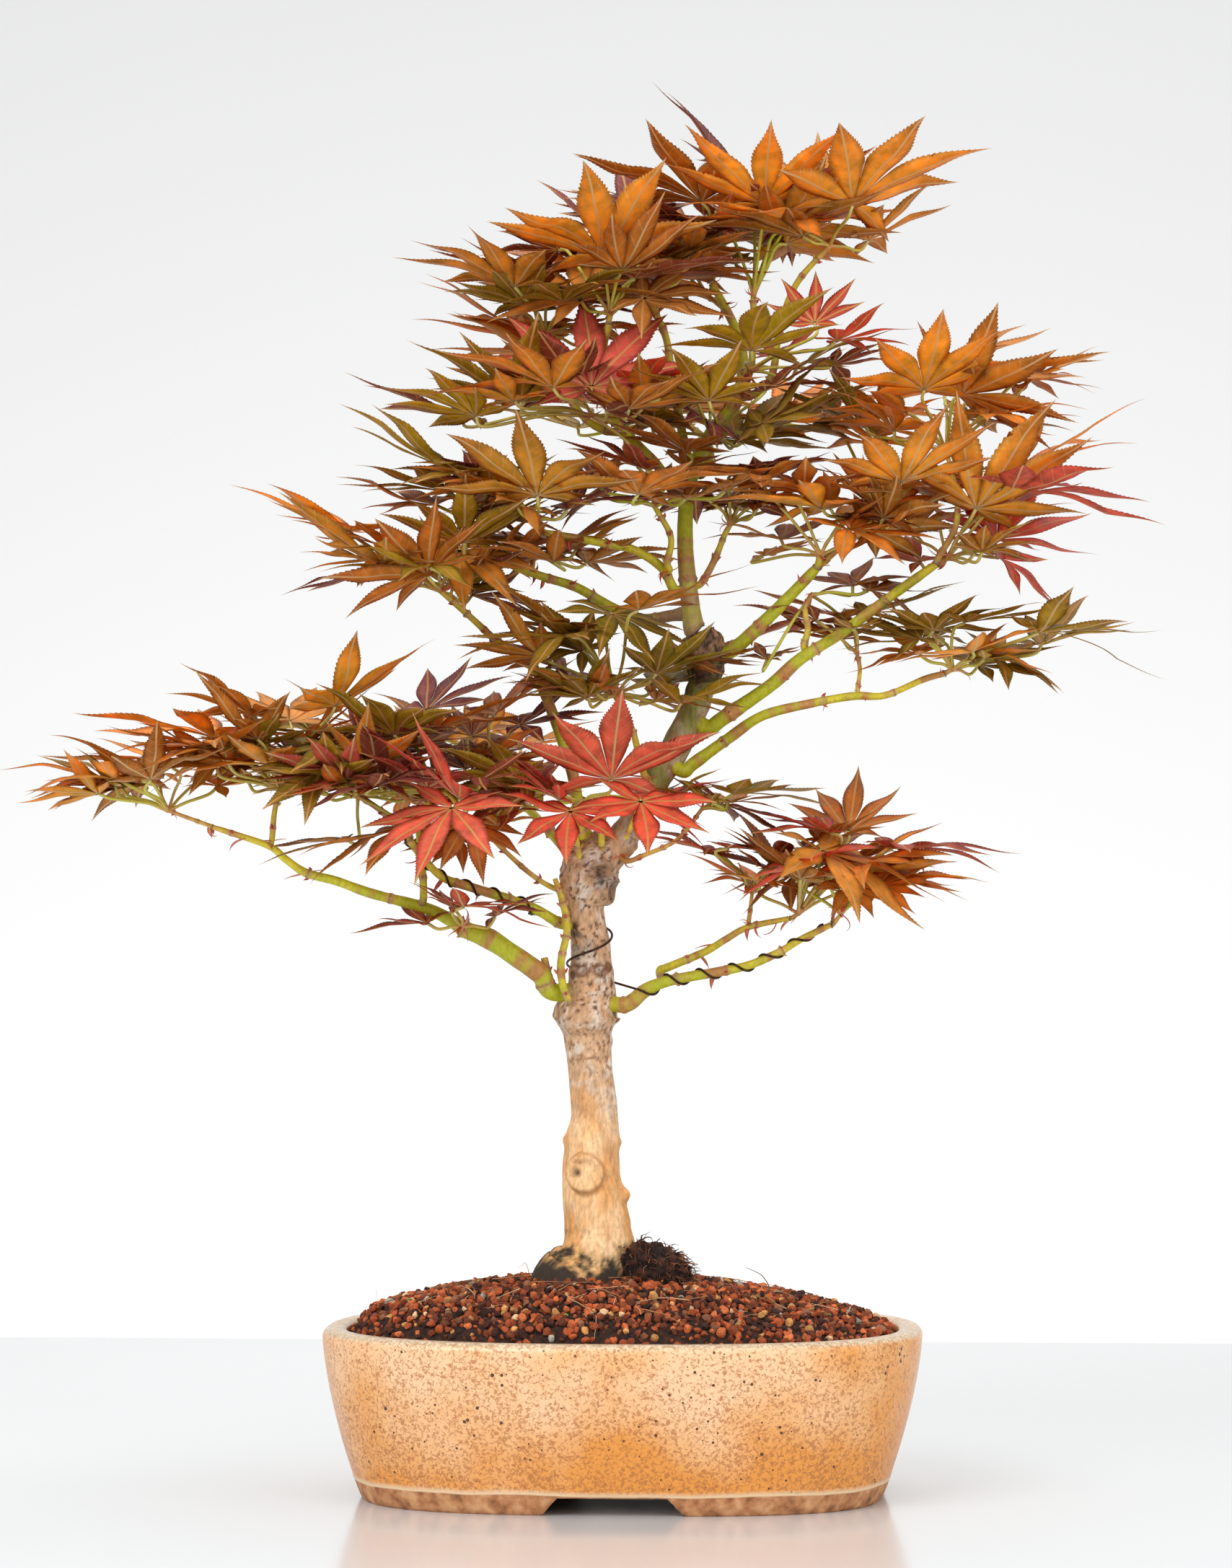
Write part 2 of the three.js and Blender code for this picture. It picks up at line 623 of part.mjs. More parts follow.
/** A blade and its stalk, which runs from a shoot's tip; thickness is added all round by pad. */
function makeLeaf(tip, joint, axes, length, pad) {
  const half = BLADE_THICKNESS / 2 + pad;
  const rim = bladeRim(length + pad * 2);
  const blade = skin([rim], new THREE.Vector3(0, 0, -half), new THREE.Vector3(0, 0, half));
  const turned = new THREE.Matrix4().copy(axes).setPosition(joint);
  blade.applyMatrix4(turned);
  const bend = new THREE.Vector3(-STALK_LEAVES.back, 0, -STALK_LEAVES.down).applyMatrix4(turned);
  const end = new THREE.Vector3(-STALK_SEAT.back, 0, -BLADE_THICKNESS * STALK_SEAT.down).applyMatrix4(turned);
  const stalk = limb([
    { point: tip, radius: STALK_RADIUS * 1.15 + pad },
    { point: bend, radius: STALK_RADIUS + pad },
    { point: end, radius: STALK_RADIUS * 0.8 + pad },
  ], STALK_SIDES);
  return { blade: solid(blade), stalk: solid(stalk) };
}

// Nudges tried in turn, in millimetres, until a leaf stands clear of its neighbours.
const NUDGES = [];
for (const depth of [0, -4, 4, -8, 8, -13, 13, -19, 19, -26, 26, -34, 34]) {
  for (const [side, lift] of [[0, 0], [0, 3], [3, -3], [-3, -3], [0, 6]]) {
    NUDGES.push([side, depth, lift]);
  }
}

/** Places one leaf of a shoot, nudged clear of other pieces and of the shoot's earlier leaves. */
function settleLeaf(shoot, row) {
  const [x, y, z, heading, pitch, bank, listed] = row;
  const length = listed * BLADE_SCALE;
  const axes = bladeAxes(heading, pitch, bank);
  for (const [dx, dy, dz] of NUDGES) {
    const joint = treePoint(x + dx, y + dy, z + dz);
    const padded = makeLeaf(shoot.tip, joint, axes, length, CLEARANCE);
    const near = clash(padded.blade) + clash(padded.stalk) + clash(padded.blade, shoot.parts);
    if (near + clash(padded.stalk, shoot.blades) > 0) {
      continue;
    }
    const leaf = makeLeaf(shoot.tip, joint, axes, length, 0);
    shoot.blades.push({ body: padded.blade, box: boxOf(padded.blade) });
    shoot.parts.push({ body: padded.blade, box: boxOf(padded.blade) });
    shoot.parts.push({ body: padded.stalk, box: boxOf(padded.stalk) });
    shoot.body = shoot.body.add(leaf.blade).add(leaf.stalk);
    return true;
  }
  return false;
}

const TWIG_SIDES = 5;

/** The twig of a shoot, seated on what it grows from. */
function growTwig(name, tone, twigRows) {
  const stations = seat(stationsOf(twigRows), TWIG_SIDES, name);
  const last = stations[stations.length - 1].point;
  const back = stations[stations.length - 2].point.clone().sub(last).normalize();
  const body = solid(limb(stations, TWIG_SIDES));
  const shoot = { name, tone, tip: last.clone().addScaledVector(back, 1), body, blades: [], parts: [] };
  placed.push({ name, body, box: boxOf(body) });
  return shoot;
}

/** The leaves of a shoot, joined to its twig. */
function growLeaves(shoot, leafRows) {
  const twig = placed.findIndex((piece) => piece.name === shoot.name);
  placed.splice(twig, 1);
  for (const row of leafRows) {
    if (!settleLeaf(shoot, row)) {
      throw new Error(`${shoot.name}: a leaf at ${row.slice(0, 3)} finds no room`);
    }
  }
  place(shoot.name, shoot.body, LEAF_TONES[shoot.tone]);
}

// Each shoot: its tone, its twig's rows [x, y, z, radius], and its leaves, each
// [x, y, z of the stalk's end, heading of the middle lobe, pitch, bank, length of the middle lobe].
// Heading 0 is +X, 90 the back, 180 -X and 270 the front; a positive pitch lifts the lobe.
const SHOOTS = {
  // Crown, right of the leader.
  leaves_apex_tip: ["brown", [[36.5, 6, 441, 1.5], [34.3, 6, 451, 1.3]], [
    [33, -10, 470, 205, 20, 0, 60], [51, 15, 460, 340, -8, 0, 46], [29, 40, 470, 120, 10, 0, 54],
  ]],
  leaves_apex_centre: ["orange", [[51, -3, 393, 1.8], [54, -8, 404, 1.7], [54.6, -10, 431, 1.5]], [
    [58.3, -28, 466, 272, 20, 0, 58], [52.6, 22, 479, 150, 35, 0, 58], [66.8, 5, 464, 5, 2, 0, 48],
  ]],
  leaves_apex_right: ["orange", [
    [51, 3, 389, 2], [59.8, 2, 393.4, 2], [63.4, 0, 401, 1.8], [66, -3, 418, 1.7],
    [72.8, -8, 435.8, 1.5],
    [87, -12, 452, 1.2],
  ], [
    [95, -32, 465, 300, 24, 0, 62], [84.4, 16, 471, 100, 35, 0, 50],
  ]],
  leaves_apex_front: ["olive", [[48, -4, 397, 1.6], [53, -12, 399, 1.4]], [
    [52.7, -42, 403, 270, 14, 0, 52], [79, -38, 415, 80, 50, 0, 28], [88, -34, 408, 340, 0, 0, 34],
  ]],
  leaves_apex_left: ["brown", [
    [28, -8, 360, 2.2], [24.3, -12, 374, 2.1], [20, -16, 398, 1.9], [17.4, -17, 413, 1.7],
    [8.6, -15, 432, 1.4],
  ], [
    [9.2, 10, 443, 350, -3, 0, 46], [20, 28, 458, 350, 2, 0, 45], [4, 18, 458, 100, 40, 0, 42],
    [27.4, 0, 443, 340, -10, 0, 42],
  ]],
  // Crown, left.
  leaves_upper_left: ["orange", [[-6, -32, 416.5, 1.4], [-5, -32, 420, 1.3]], [
    [-8.5, -38, 443, 262, 22, 0, 63], [2, -24, 438, 352, 3, 0, 52], [-6, 5, 458, 140, 30, 0, 40],
  ]],
  leaves_upper_left_red: ["red", [[-7, -35, 388, 1.3], [-8, -40, 384, 1.2]], [
    [-10, -55, 389, 95, 58, 0, 58], [-0.8, -52, 379, 292, 10, 0, 42],
  ]],
  leaves_left_top: ["orange", [
    [2, -22, 371, 1.9], [-9, -20, 373, 1.9], [-18, -18, 380, 1.8], [-25, -14, 393, 1.6],
    [-32.6, -8, 415, 1.3],
  ], [
    [-45, -32, 431, 215, 12, 0, 54], [-36.3, -5, 435, 170, 14, 0, 54], [-33.7, -22, 416, 188, 4, 0, 52],
    [-15, 8, 423, 165, 8, 0, 36], [-33, 12, 408, 185, 3, 0, 50],
  ]],
  // Middle tier, left.
  leaves_left_mid: ["orange", [[-1, -33, 374, 1.7], [-13.5, -36, 377, 1.4]], [
    [-28.5, -48, 383.5, 212, 12, 0, 56], [-68, -8, 379, 178, 8, 0, 50],
    [12.2, -50, 356, 175, 12, 0, 38],
    [-19.6, 0, 381, 150, -5, 0, 40],
  ]],
  leaves_mid_left_front: ["orange", [[-34, -31, 330, 1.4], [-37, -36, 334, 1.2]], [
    [-35, -62, 341, 263, 22, 0, 56], [-49.5, -45, 343, 195, 12, 0, 40], [-53, 0, 355, 190, 3, 0, 44],
  ]],
  leaves_mid_left_tip: ["olive", [[-64.5, -13, 332.5, 1.4], [-66, -15, 336, 1.2]], [
    [-71, -32, 352, 190, 10, 0, 50], [-75.6, -5, 349, 182, -2, 0, 48],
    [-68.6, -34, 327.5, 270, 18, 0, 46],
  ]],
  leaves_mid_left_low: ["brown", [[-38, -4, 318, 1.3], [-39, -8, 323, 1.2]], [
    [-28.7, -25, 314, 200, 5, 0, 42], [-15, 5, 313, 20, -6, 0, 44], [-37.8, 10, 326.7, 160, 5, 0, 44],
  ]],
  leaves_left_high: ["orange", [[-55, -15, 287, 1.6], [-66, -18, 297, 1.5], [-76.6, -22, 306, 1.3]], [
    [-98.4, -48, 313.5, 205, 16, 0, 58], [-113.6, -22, 330.4, 190, 12, 0, 52],
    [-102, -5, 313, 186, -14, 0, 44],
    [-68, -33, 322, 275, -50, 0, 45],
  ]],
  // Middle tier, centre.
  leaves_centre_yellow: ["brown", [
    [21, -12, 308.5, 1.8], [18.3, -16, 318, 1.7], [19.8, -18, 328.2, 1.5], [12.5, -20, 342, 1.2],
  ], [
    [3, -58, 345, 300, 8, 0, 50], [25.9, -35, 362, 240, 10, 0, 40], [15, 5, 352.5, 170, 0, 0, 45],
  ]],
  leaves_centre_twig: ["brown", [
    [31, -8, 307, 1.7], [38, -9, 319, 1.6], [42.5, -10, 330, 1.4], [45.5, -12, 335.2, 1.2],
  ], [
    [54.6, -8, 343.4, 200, -3, 0, 36], [45.5, -25, 358, 0, 3, 0, 42],
  ]],
  leaves_leader_mid: ["olive", [[38, -3, 373, 1.5], [39, -10, 371, 1.3]], [
    [35, -52, 375, 250, 14, 0, 46], [57.7, -20, 377, 5, 0, 0, 52], [59, -30, 388, 20, 14, 0, 38],
  ]],
  // Middle tier, right.
  leaves_centre_right: ["brown", [[81, -21, 316.5, 1.7], [82, -24, 321, 1.4]], [
    [74.5, -46, 344, 300, 10, 0, 42], [53.5, -35, 351.7, 235, 5, 0, 42], [59, -5, 321.6, 0, 0, 0, 26],
  ]],
  leaves_right_upper: ["orange", [[83, -17, 317.5, 1.7], [94, -24, 327, 1.6], [106.8, -30, 332, 1.3]], [
    [109.6, -60, 349.3, 285, 18, 0, 50], [92, -45, 329, 300, -22, 0, 42],
    [117, -20, 352, 330, -4, 0, 48],
    [86.4, 15, 378.5, 200, 0, 0, 45],
  ]],
  leaves_far_right_up: ["orange", [
    [130.5, -29, 319, 1.5], [137.4, -30, 331.3, 1.4], [138, -28, 345, 1.3], [134, -25, 364, 1.1],
  ], [
    [123.3, -48, 386, 275, 24, 0, 52], [146.8, -22, 386, 340, 14, 0, 60], [139, 18, 400, 30, 28, 0, 48],
    [116.8, 8, 381, 185, 0, 0, 52],
  ]],
  leaves_far_right: ["red", [[131.5, -26, 317, 1.4], [135, -24, 319, 1.2]], [
    [159, -45, 344, 340, -8, 0, 66], [161, -12, 356, 5, 12, 0, 62], [122.8, -10, 333, 285, 15, 0, 32],
    [145.5, -30, 320.4, 350, 12, 0, 28], [157.7, -5, 320.7, 330, -38, 0, 34],
  ]],
  leaves_right_bud: ["brown", [
    [75, -15, 281.3, 1.7], [77, -14, 290, 1.5], [76, -14, 298, 1.3], [78, -12, 305.5, 1.1],
  ], [
    [92.5, 10, 296.4, 178, 8, 0, 40], [57, -12, 280.7, 70, 20, 0, 20],
  ]],
  leaves_right_low_tip: ["olive", [[134.5, -16, 271.8, 1.2], [138, -17, 273.5, 1]], [
    [171, -38, 287, 345, -8, 0, 54], [141.8, -28, 292, 350, 0, 0, 46], [135, 2, 290.4, 200, 6, 0, 40],
    [151.6, -12, 284.3, 320, -38, 0, 38],
  ]],
  leaves_right_low_mid: ["olive", [[97.6, -16, 265, 1.1], [98.6, -15, 273, 1], [97.4, -14, 281, 0.9]], [
    [103.4, -2, 292.5, 5, 3, 0, 42], [95, -28, 289.5, 250, -10, 0, 26],
  ]],
  // Lower middle, around the trunk's top.
  leaves_centre_low: ["olive", [
    [9, -10, 229, 1.7], [6, -14, 240, 1.6], [3, -17, 250, 1.4], [-4, -19, 263, 1.2],
  ], [
    [-12, -38, 263, 205, 8, 0, 40], [-21.4, -48, 284.6, 205, -12, 0, 50],
    [6.2, -55, 295, 340, 8, 0, 52],
    [-4.5, -35, 295, 300, -28, 0, 44], [23.8, -40, 258, 320, 4, 0, 42],
  ]],
  leaves_front_red: ["red", [[-17.5, -11, 204, 2], [-18, -16, 212.5, 1.8], [-17, -20, 218.6, 1.5]], [
    [-26.5, -42, 218, 195, 25, 0, 34], [-24.5, -50, 216, 265, -35, 0, 38],
    [-5, -52, 220, 280, 30, 0, 60],
    [7, -55, 217, 278, -42, 0, 42],
  ]],
  // Lower tier, left.
  leaves_low_left_end: ["orange", [[-172, -18, 208, 1], [-190, -18, 214.6, 0.9]], [
    [-209.5, -22, 227, 187, -3, 0, 47], [-200, 6, 231, 172, 10, 0, 48], [-192, 25, 234, 150, 8, 0, 42],
  ]],
  leaves_low_left_tip: ["orange", [[-146, -18, 202, 1.4], [-145, -18, 213, 1.3], [-142.5, -20, 224, 1.2]], [
    [-165, -34, 240.4, 232, -14, 0, 50], [-152, -42, 249.5, 218, 14, 0, 40],
    [-171, -5, 242, 178, 8, 0, 58],
    [-139.6, -8, 251.6, 110, 18, 0, 42], [-118.5, -40, 256.5, 330, 26, 0, 50],
    [-130, 10, 252.5, 165, 5, 0, 45],
  ]],
  leaves_low_left_mid: ["olive", [[-95, -28, 209.5, 1.4], [-103, -30, 216, 1.3], [-110.5, -30, 220, 1.1]], [
    [-124, -45, 230, 262, -42, 0, 36], [-118, -12, 242, 200, 0, 0, 44], [-97, -40, 248, 255, 14, 0, 43],
    [-90.7, -48, 206, 215, -25, 0, 46], [-115, -22, 196, 200, -16, 0, 36],
  ]],
  leaves_low_left_front: ["red", [[-79.5, -25, 219, 1.3], [-77, -29, 222, 1.2]], [
    [-69.8, -58, 221, 195, 30, 0, 54], [-66, -62, 216.7, 250, -35, 0, 48],
    [-77.6, -20, 248, 340, 4, 0, 46],
    [-83, 5, 257, 50, 28, 0, 40],
  ]],
  leaves_left_twig: ["brown", [
    [-27.5, -4, 181.5, 1.3], [-37.8, -8, 187.4, 1.2], [-49.9, -12, 198, 1.1], [-56, -15, 204, 1],
  ], [
    [-53, -12, 255.5, 20, 22, 0, 42], [-60.5, -8, 240.4, 350, -8, 0, 34],
    [-64, -28, 209.3, 290, -48, 0, 32],
    [-52.6, -40, 214.3, 300, -10, 0, 26],
  ]],
  leaves_low_star: ["brown", [[-67, -15, 165, 1.1], [-67, -20, 166.5, 0.9]], [
    [-65.3, -36, 174.3, 335, -8, 0, 36], [-70, -30, 174, 150, 20, 0, 22],
  ]],
  // Lower tier, right.
  leaves_low_right_end: ["orange", [[87.5, -18, 167.5, 1.1], [91, -20, 172, 1]], [
    [81, -48, 197, 325, -30, 0, 58], [101.6, -12, 186, 350, -12, 0, 52],
    [94, -34, 183.4, 290, -40, 0, 28],
  ]],
  leaves_low_right_upper: ["brown", [[70.5, -7, 169.8, 1.1], [74, -8, 172, 1]], [
    [94, -8, 206, 75, 30, 0, 38], [110.6, -28, 195, 350, -6, 0, 54], [85, -36, 201.6, 172, 4, 0, 40],
    [72.8, 2, 189, 215, -38, 0, 34], [80.4, 15, 196.4, 10, -3, 0, 40],
  ]],
  leaves_low_right_mid: ["brown", [[52.5, -4, 168, 1.1], [53.3, -4, 174, 1], [54, -4, 181.3, 0.9]], [
    [43.4, -26, 198.6, 345, -8, 0, 38], [42.5, -8, 199.5, 185, 4, 0, 34],
  ]],
  leaves_front_right: ["olive", [
    [1, -9, 193.5, 1.2], [9.2, -12, 196, 1.1], [22.8, -16, 202.5, 1], [33.4, -18, 216, 0.9],
  ], [
    [45.8, -22, 221, 345, -4, 0, 44], [36.5, -30, 214.6, 200, 0, 0, 30],
  ]],
  // Back.
  leaves_back_low: ["brown", [[-61, 76, 236.5, 1.3], [-64, 80, 240, 1.2]], [
    [-75, 95, 250, 110, 10, 0, 52], [-105, 70, 247, 160, 8, 0, 52], [-45, 100, 246, 70, 8, 0, 50],
    [-85, 60, 252, 190, 4, 0, 48],
  ]],
  leaves_back_high: ["olive", [[29.5, 76, 386, 1.3], [28, 80, 389, 1.2]], [
    [25, 95, 394, 90, 12, 0, 52], [-20, 85, 386, 140, 8, 0, 52], [70, 90, 389, 40, 8, 0, 50],
    [0, 60, 396, 180, 4, 0, 50], [95, 68, 386, 15, 4, 0, 50],
  ]],
  leaves_back_crown: ["brown", [[43, 12, 428, 1.3], [36, 26, 436, 1.2]], [
    [15, 50, 452, 110, 10, 0, 52], [-20, 40, 448, 160, 8, 0, 50], [45, 55, 462, 80, 10, 0, 50],
  ]],
};

// Every twig stands before the first leaf opens, so no leaf takes a twig's place.
const shoots = {};
for (const [name, [tone, twigRows]] of Object.entries(SHOOTS)) {
  shoots[name] = growTwig(name, tone, twigRows);
}
for (const [name, [, , leafRows]] of Object.entries(SHOOTS)) {
  growLeaves(shoots[name], leafRows);
}

// ---------------------------------------------------------------- origin

// The whole object stands with its bounding box centred over the origin.
const whole = new THREE.Box3().setFromObject(group);
const middle = whole.getCenter(new THREE.Vector3());
group.position.set(-middle.x, -middle.y, -whole.min.z);

export default group;
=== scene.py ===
"""Looks of a Japanese maple bonsai in an oval glazed pot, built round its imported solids.

Lengths are in millimetres inside this file and turn to metres where a mesh is made.
+Z is up, +X is the right of the front view, and -Y is the front.
"""
import json
import math
import random

import bpy
import numpy as np
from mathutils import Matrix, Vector, noise
from mathutils.bvhtree import BVHTree


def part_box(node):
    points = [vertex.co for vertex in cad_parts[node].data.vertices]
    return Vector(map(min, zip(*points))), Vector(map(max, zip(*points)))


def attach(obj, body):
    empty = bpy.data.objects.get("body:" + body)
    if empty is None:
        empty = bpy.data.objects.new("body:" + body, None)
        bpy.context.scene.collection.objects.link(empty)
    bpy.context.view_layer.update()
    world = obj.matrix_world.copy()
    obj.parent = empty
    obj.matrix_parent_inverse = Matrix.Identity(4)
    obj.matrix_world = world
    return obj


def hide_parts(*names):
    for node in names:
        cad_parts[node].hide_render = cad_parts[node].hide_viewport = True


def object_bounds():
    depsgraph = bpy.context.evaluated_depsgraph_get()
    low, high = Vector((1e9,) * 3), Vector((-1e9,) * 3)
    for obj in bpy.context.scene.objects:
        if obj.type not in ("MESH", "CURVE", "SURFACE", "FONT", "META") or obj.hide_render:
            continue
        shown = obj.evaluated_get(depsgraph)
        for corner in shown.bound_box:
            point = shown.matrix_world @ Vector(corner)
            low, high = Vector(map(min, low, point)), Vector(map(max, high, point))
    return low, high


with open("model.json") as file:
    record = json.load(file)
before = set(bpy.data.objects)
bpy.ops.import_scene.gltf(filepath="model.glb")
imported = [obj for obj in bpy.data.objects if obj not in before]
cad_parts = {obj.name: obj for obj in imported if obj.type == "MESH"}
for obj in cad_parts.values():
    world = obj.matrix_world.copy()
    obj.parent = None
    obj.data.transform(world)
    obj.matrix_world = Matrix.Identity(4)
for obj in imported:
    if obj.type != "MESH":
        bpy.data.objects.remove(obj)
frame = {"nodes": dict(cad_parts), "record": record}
CAD_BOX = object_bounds()

bl_info = {
    "name": "Maple Bonsai in a Glazed Pot",
    "version": (1, 0, 0),
    "blender": (4, 5, 0),
    "location": "3D View > Sidebar > Bonsai",
    "description": "Builds the leaves, bark, soil and glaze of a potted maple bonsai on its solids",
    "category": "Add Mesh",
}

MM = 0.001
TREE_TURN = math.radians(3.3)  # the tree's front against the pot's long side
RECORD = frame["record"]
LEAF_NODES = sorted(name for name in frame["nodes"] if name.startswith("leaves_"))
BOUGH_NODES = sorted(
    part["node"] for part in RECORD["subparts"] if part["material_slot"] == "green_wood"
)


# ------------------------------------------------------------------ colours and nodes

def linear(code):
    """An sRGB hex colour as linear red, green, blue and alpha."""
    channels = [int(code[i : i + 2], 16) / 255 for i in (1, 3, 5)]
    return tuple(
        c / 12.92 if c <= 0.04045 else ((c + 0.055) / 1.055) ** 2.4 for c in channels
    ) + (1.0,)


def rgb(code):
    return np.array(linear(code)[:3])


def toned(base, code, share):
    """Tints of some points, turned towards a colour by each point's share."""
    return base + (rgb(code) - base) * np.clip(share, 0, 1)[:, None]


class Nodes:
    """The node tree of a new material. Most methods add a node and return its output."""

    def __init__(self, name):
        self.material = bpy.data.materials.new(name)
        self.material.use_nodes = True
        self.tree = self.material.node_tree
        self.tree.nodes.clear()
        self.at = self.add("TexCoord").outputs["Object"]

    def add(self, kind, inputs=None, **settings):
        """Adds a node with its settings and its inputs: constants, hex colours or sockets."""
        made = self.tree.nodes.new("ShaderNode" + kind)
        for key, value in settings.items():
            setattr(made, key, value)
        for key, value in (inputs or {}).items():
            if isinstance(value, bpy.types.NodeSocket):
                self.tree.links.new(value, made.inputs[key])
            else:
                made.inputs[key].default_value = linear(value) if isinstance(value, str) else value
        return made

    def noise(self, size_mm, detail, at=None, **more):
        """A noise whose features are size_mm across."""
        inputs = {"Vector": self.at if at is None else at, "Scale": 1 / (size_mm * MM)}
        return self.add("TexNoise", {**inputs, "Detail": detail, **more}).outputs[0]

    def part(self, vector, axis):
        return self.add("SeparateXYZ", {0: vector}).outputs[axis]

    def math(self, operation, *values):
        return self.add("Math", dict(enumerate(values)), operation=operation).outputs[0]

    def fade(self, value, start, end, low=0.0, high=1.0):
        """A value between start and end, turned to one between low and high."""
        return self.add("MapRange", {0: value, 1: start, 2: end, 3: low, 4: high}).outputs[0]

    def ramp(self, value, *stops):
        """A colour from a value. Each stop is a place and a hex code or a setting's colour."""
        made = self.add("ValToRGB", {0: value})
        band = made.color_ramp.elements
        band.remove(band[-1])
        for i, (place, colour) in enumerate(stops):
            stop = band.new(place) if i else band[0]
            stop.position = place
            stop.color = linear(colour) if isinstance(colour, str) else (*colour, 1)
        return made.outputs[0]

    def mix(self, share, first, second, blend="MIX"):
        inputs = {0: share, 6: first, 7: second}
        return self.add("Mix", inputs, data_type="RGBA", blend_type=blend).outputs[2]

    def bump(self, height, strength, distance):
        inputs = {"Height": height, "Strength": strength, "Distance": distance}
        return self.add("Bump", inputs).outputs[0]

    def principled(self, colour, roughness, **more):
        inputs = {"Base Color": colour, "Roughness": roughness, **more}
        return self.add("BsdfPrincipled", inputs).outputs[0]

    def finish(self, shader):
        self.add("OutputMaterial", {0: shader})
        return self.material


# ------------------------------------------------------------------ materials

def stoneware_glaze():
    """Stoneware, thrown and dipped in a runny iron glaze.

    The glaze breaks into fine brown specks over buff, pools orange near the foot, turns deeper
    orange towards the rounded ends, thins pale on the lip, and stops in a light line above the bare
    foot, which fired to a matt brown. Places are in metres.
    """
    look = bpy.context.scene.bonsai_glaze
    nodes = Nodes("stoneware_speckled_dip_glaze")
    height = nodes.part(nodes.at, "Z")
    upward = nodes.part(nodes.add("NewGeometry").outputs["Normal"], "Z")

    # Deeper orange low down, where the glaze ran thick, and towards the rounded ends.
    low = nodes.fade(height, 0.052, 0.012, -0.12, 0.22)
    along = nodes.math("ABSOLUTE", nodes.part(nodes.at, "X"))
    thick = nodes.math("ADD", low, nodes.fade(along, 0.065, 0.115, 0.0, 0.2))
    warm = nodes.math("ADD", nodes.noise(34, 3.0), thick)
    body = nodes.ramp(warm, (0.32, look.pale), (0.52, look.buff), (0.74, look.pooled))

    # Specks about 1 mm across, in three sizes, thicker where the glaze pooled.
    fine = nodes.noise(1.5, 3.0, Roughness=0.7, Distortion=0.8)
    crowd = nodes.fade(nodes.noise(22, 2.0), 0.3, 0.7, -0.025, 0.025)
    pooled = nodes.fade(height, 0.045, 0.014, 0.0, 0.03)
    pushed = nodes.math("ADD", fine, nodes.math("ADD", crowd, pooled))
    speckled = nodes.mix(nodes.fade(pushed, 0.5, 0.6, 0.0, 0.8), body, (*look.speck, 1))
    cells = nodes.add("TexVoronoi", {"Vector": nodes.at, "Scale": 1 / (4 * MM)})
    reach = nodes.fade(nodes.noise(9, 1.0), 0.4, 0.7, 0.03, 0.2)
    dots = nodes.math("LESS_THAN", cells.outputs["Distance"], reach)
    dotted = nodes.mix(dots, speckled, "#5A3418")

    # Thin glaze on the lip.
    lip = nodes.math("MULTIPLY", nodes.fade(height, 0.0655, 0.0685), nodes.fade(upward, 0.25, 0.8))
    lipped = nodes.mix(lip, dotted, nodes.ramp(fine, (0.4, "#F0DCBC"), (0.6, "#C09A70")))

    # Bare foot under a wavering glaze line.
    shift = nodes.fade(nodes.noise(40, 2.0), 0.3, 0.7, -0.0007, 0.0007)
    moved = nodes.math("ADD", height, shift)
    glazed = nodes.fade(moved, 0.0078, 0.0084)
    lined = nodes.mix(nodes.fade(moved, 0.0106, 0.0084), lipped, "#F4D8B0")
    stops = (0.3, "#8E5A36"), (0.48, look.clay), (0.68, "#DCA878")
    whole = nodes.mix(glazed, nodes.ramp(nodes.noise(5, 5.0), *stops), lined)
    rough = nodes.fade(glazed, 0.0, 1.0, 0.72, 0.3)
    bump = nodes.bump(pushed, 0.16, 0.0004)
    return nodes.finish(nodes.principled(whole, rough, Normal=bump, IOR=1.52))


def painted(name, roughness, grain_mm, grain_depth, stretch=(1, 1, 1), flecks=None):
    """A material whose large colours are in the mesh's tint, with grain and flecks from noise."""
    nodes = Nodes(name)
    spread = nodes.add("Mapping", {"Vector": nodes.at, "Scale": stretch}).outputs[0]
    tint = nodes.add("VertexColor", layer_name="tint").outputs[0]
    grain = nodes.noise(grain_mm, 5.0, spread, Roughness=0.65)
    shade = nodes.fade(grain, 0.3, 0.7, 1 - grain_depth, 1 + grain_depth)
    colour = nodes.mix(1.0, tint, shade, "MULTIPLY")
    if flecks:
        size_mm, low, high, code = flecks
        spots = nodes.noise(size_mm, 3.0, spread, Roughness=0.8)
        colour = nodes.mix(nodes.fade(spots, low, high), colour, code)
    bump = nodes.bump(grain, 0.5, 0.0005)
    return nodes.finish(nodes.principled(colour, roughness, Normal=bump))


def leaf_side(name, layer, roughness, vein_code, glow):
    """One side of a maple blade.

    A maple leaf is a thin waxy film over darker flesh: it shines softly, lets light through from
    behind, and shows pale raised veins, a strong one down each lobe and weak ones off it.
    """
    nodes = Nodes(name)
    tint = nodes.add("VertexColor", layer_name=layer).outputs[0]
    # The lobe's own coordinates are in millimetres: X across from the midrib, Y along it.
    place = nodes.add("UVMap", uv_map="lobe").outputs[0]
    across = nodes.math("ABSOLUTE", nodes.part(place, "X"))
    shade = nodes.fade(nodes.noise(9, 4.0, Roughness=0.6), 0.3, 0.7, 0.72, 1.28)
    toned = nodes.mix(1.0, tint, shade, "MULTIPLY")
    lean = nodes.math("MULTIPLY_ADD", across, -0.9, nodes.part(place, "Y"))
    row = nodes.math("PINGPONG", lean, 3.4)
    side_veins = nodes.fade(row, 0.42, 0.05, 0.0, 0.38)
    veins = nodes.math("MAXIMUM", nodes.fade(across, 0.62, 0.22), side_veins)
    veined = nodes.mix(veins, toned, vein_code)
    bump = nodes.bump(veins, 0.35, 0.0003)
    shader = nodes.principled(veined, roughness, Normal=bump, IOR=1.45)
    through = nodes.add("BsdfTranslucent", {"Color": veined}).outputs[0]
    return nodes.finish(nodes.add("MixShader", {0: glow, 1: shader, 2: through}).outputs[0])


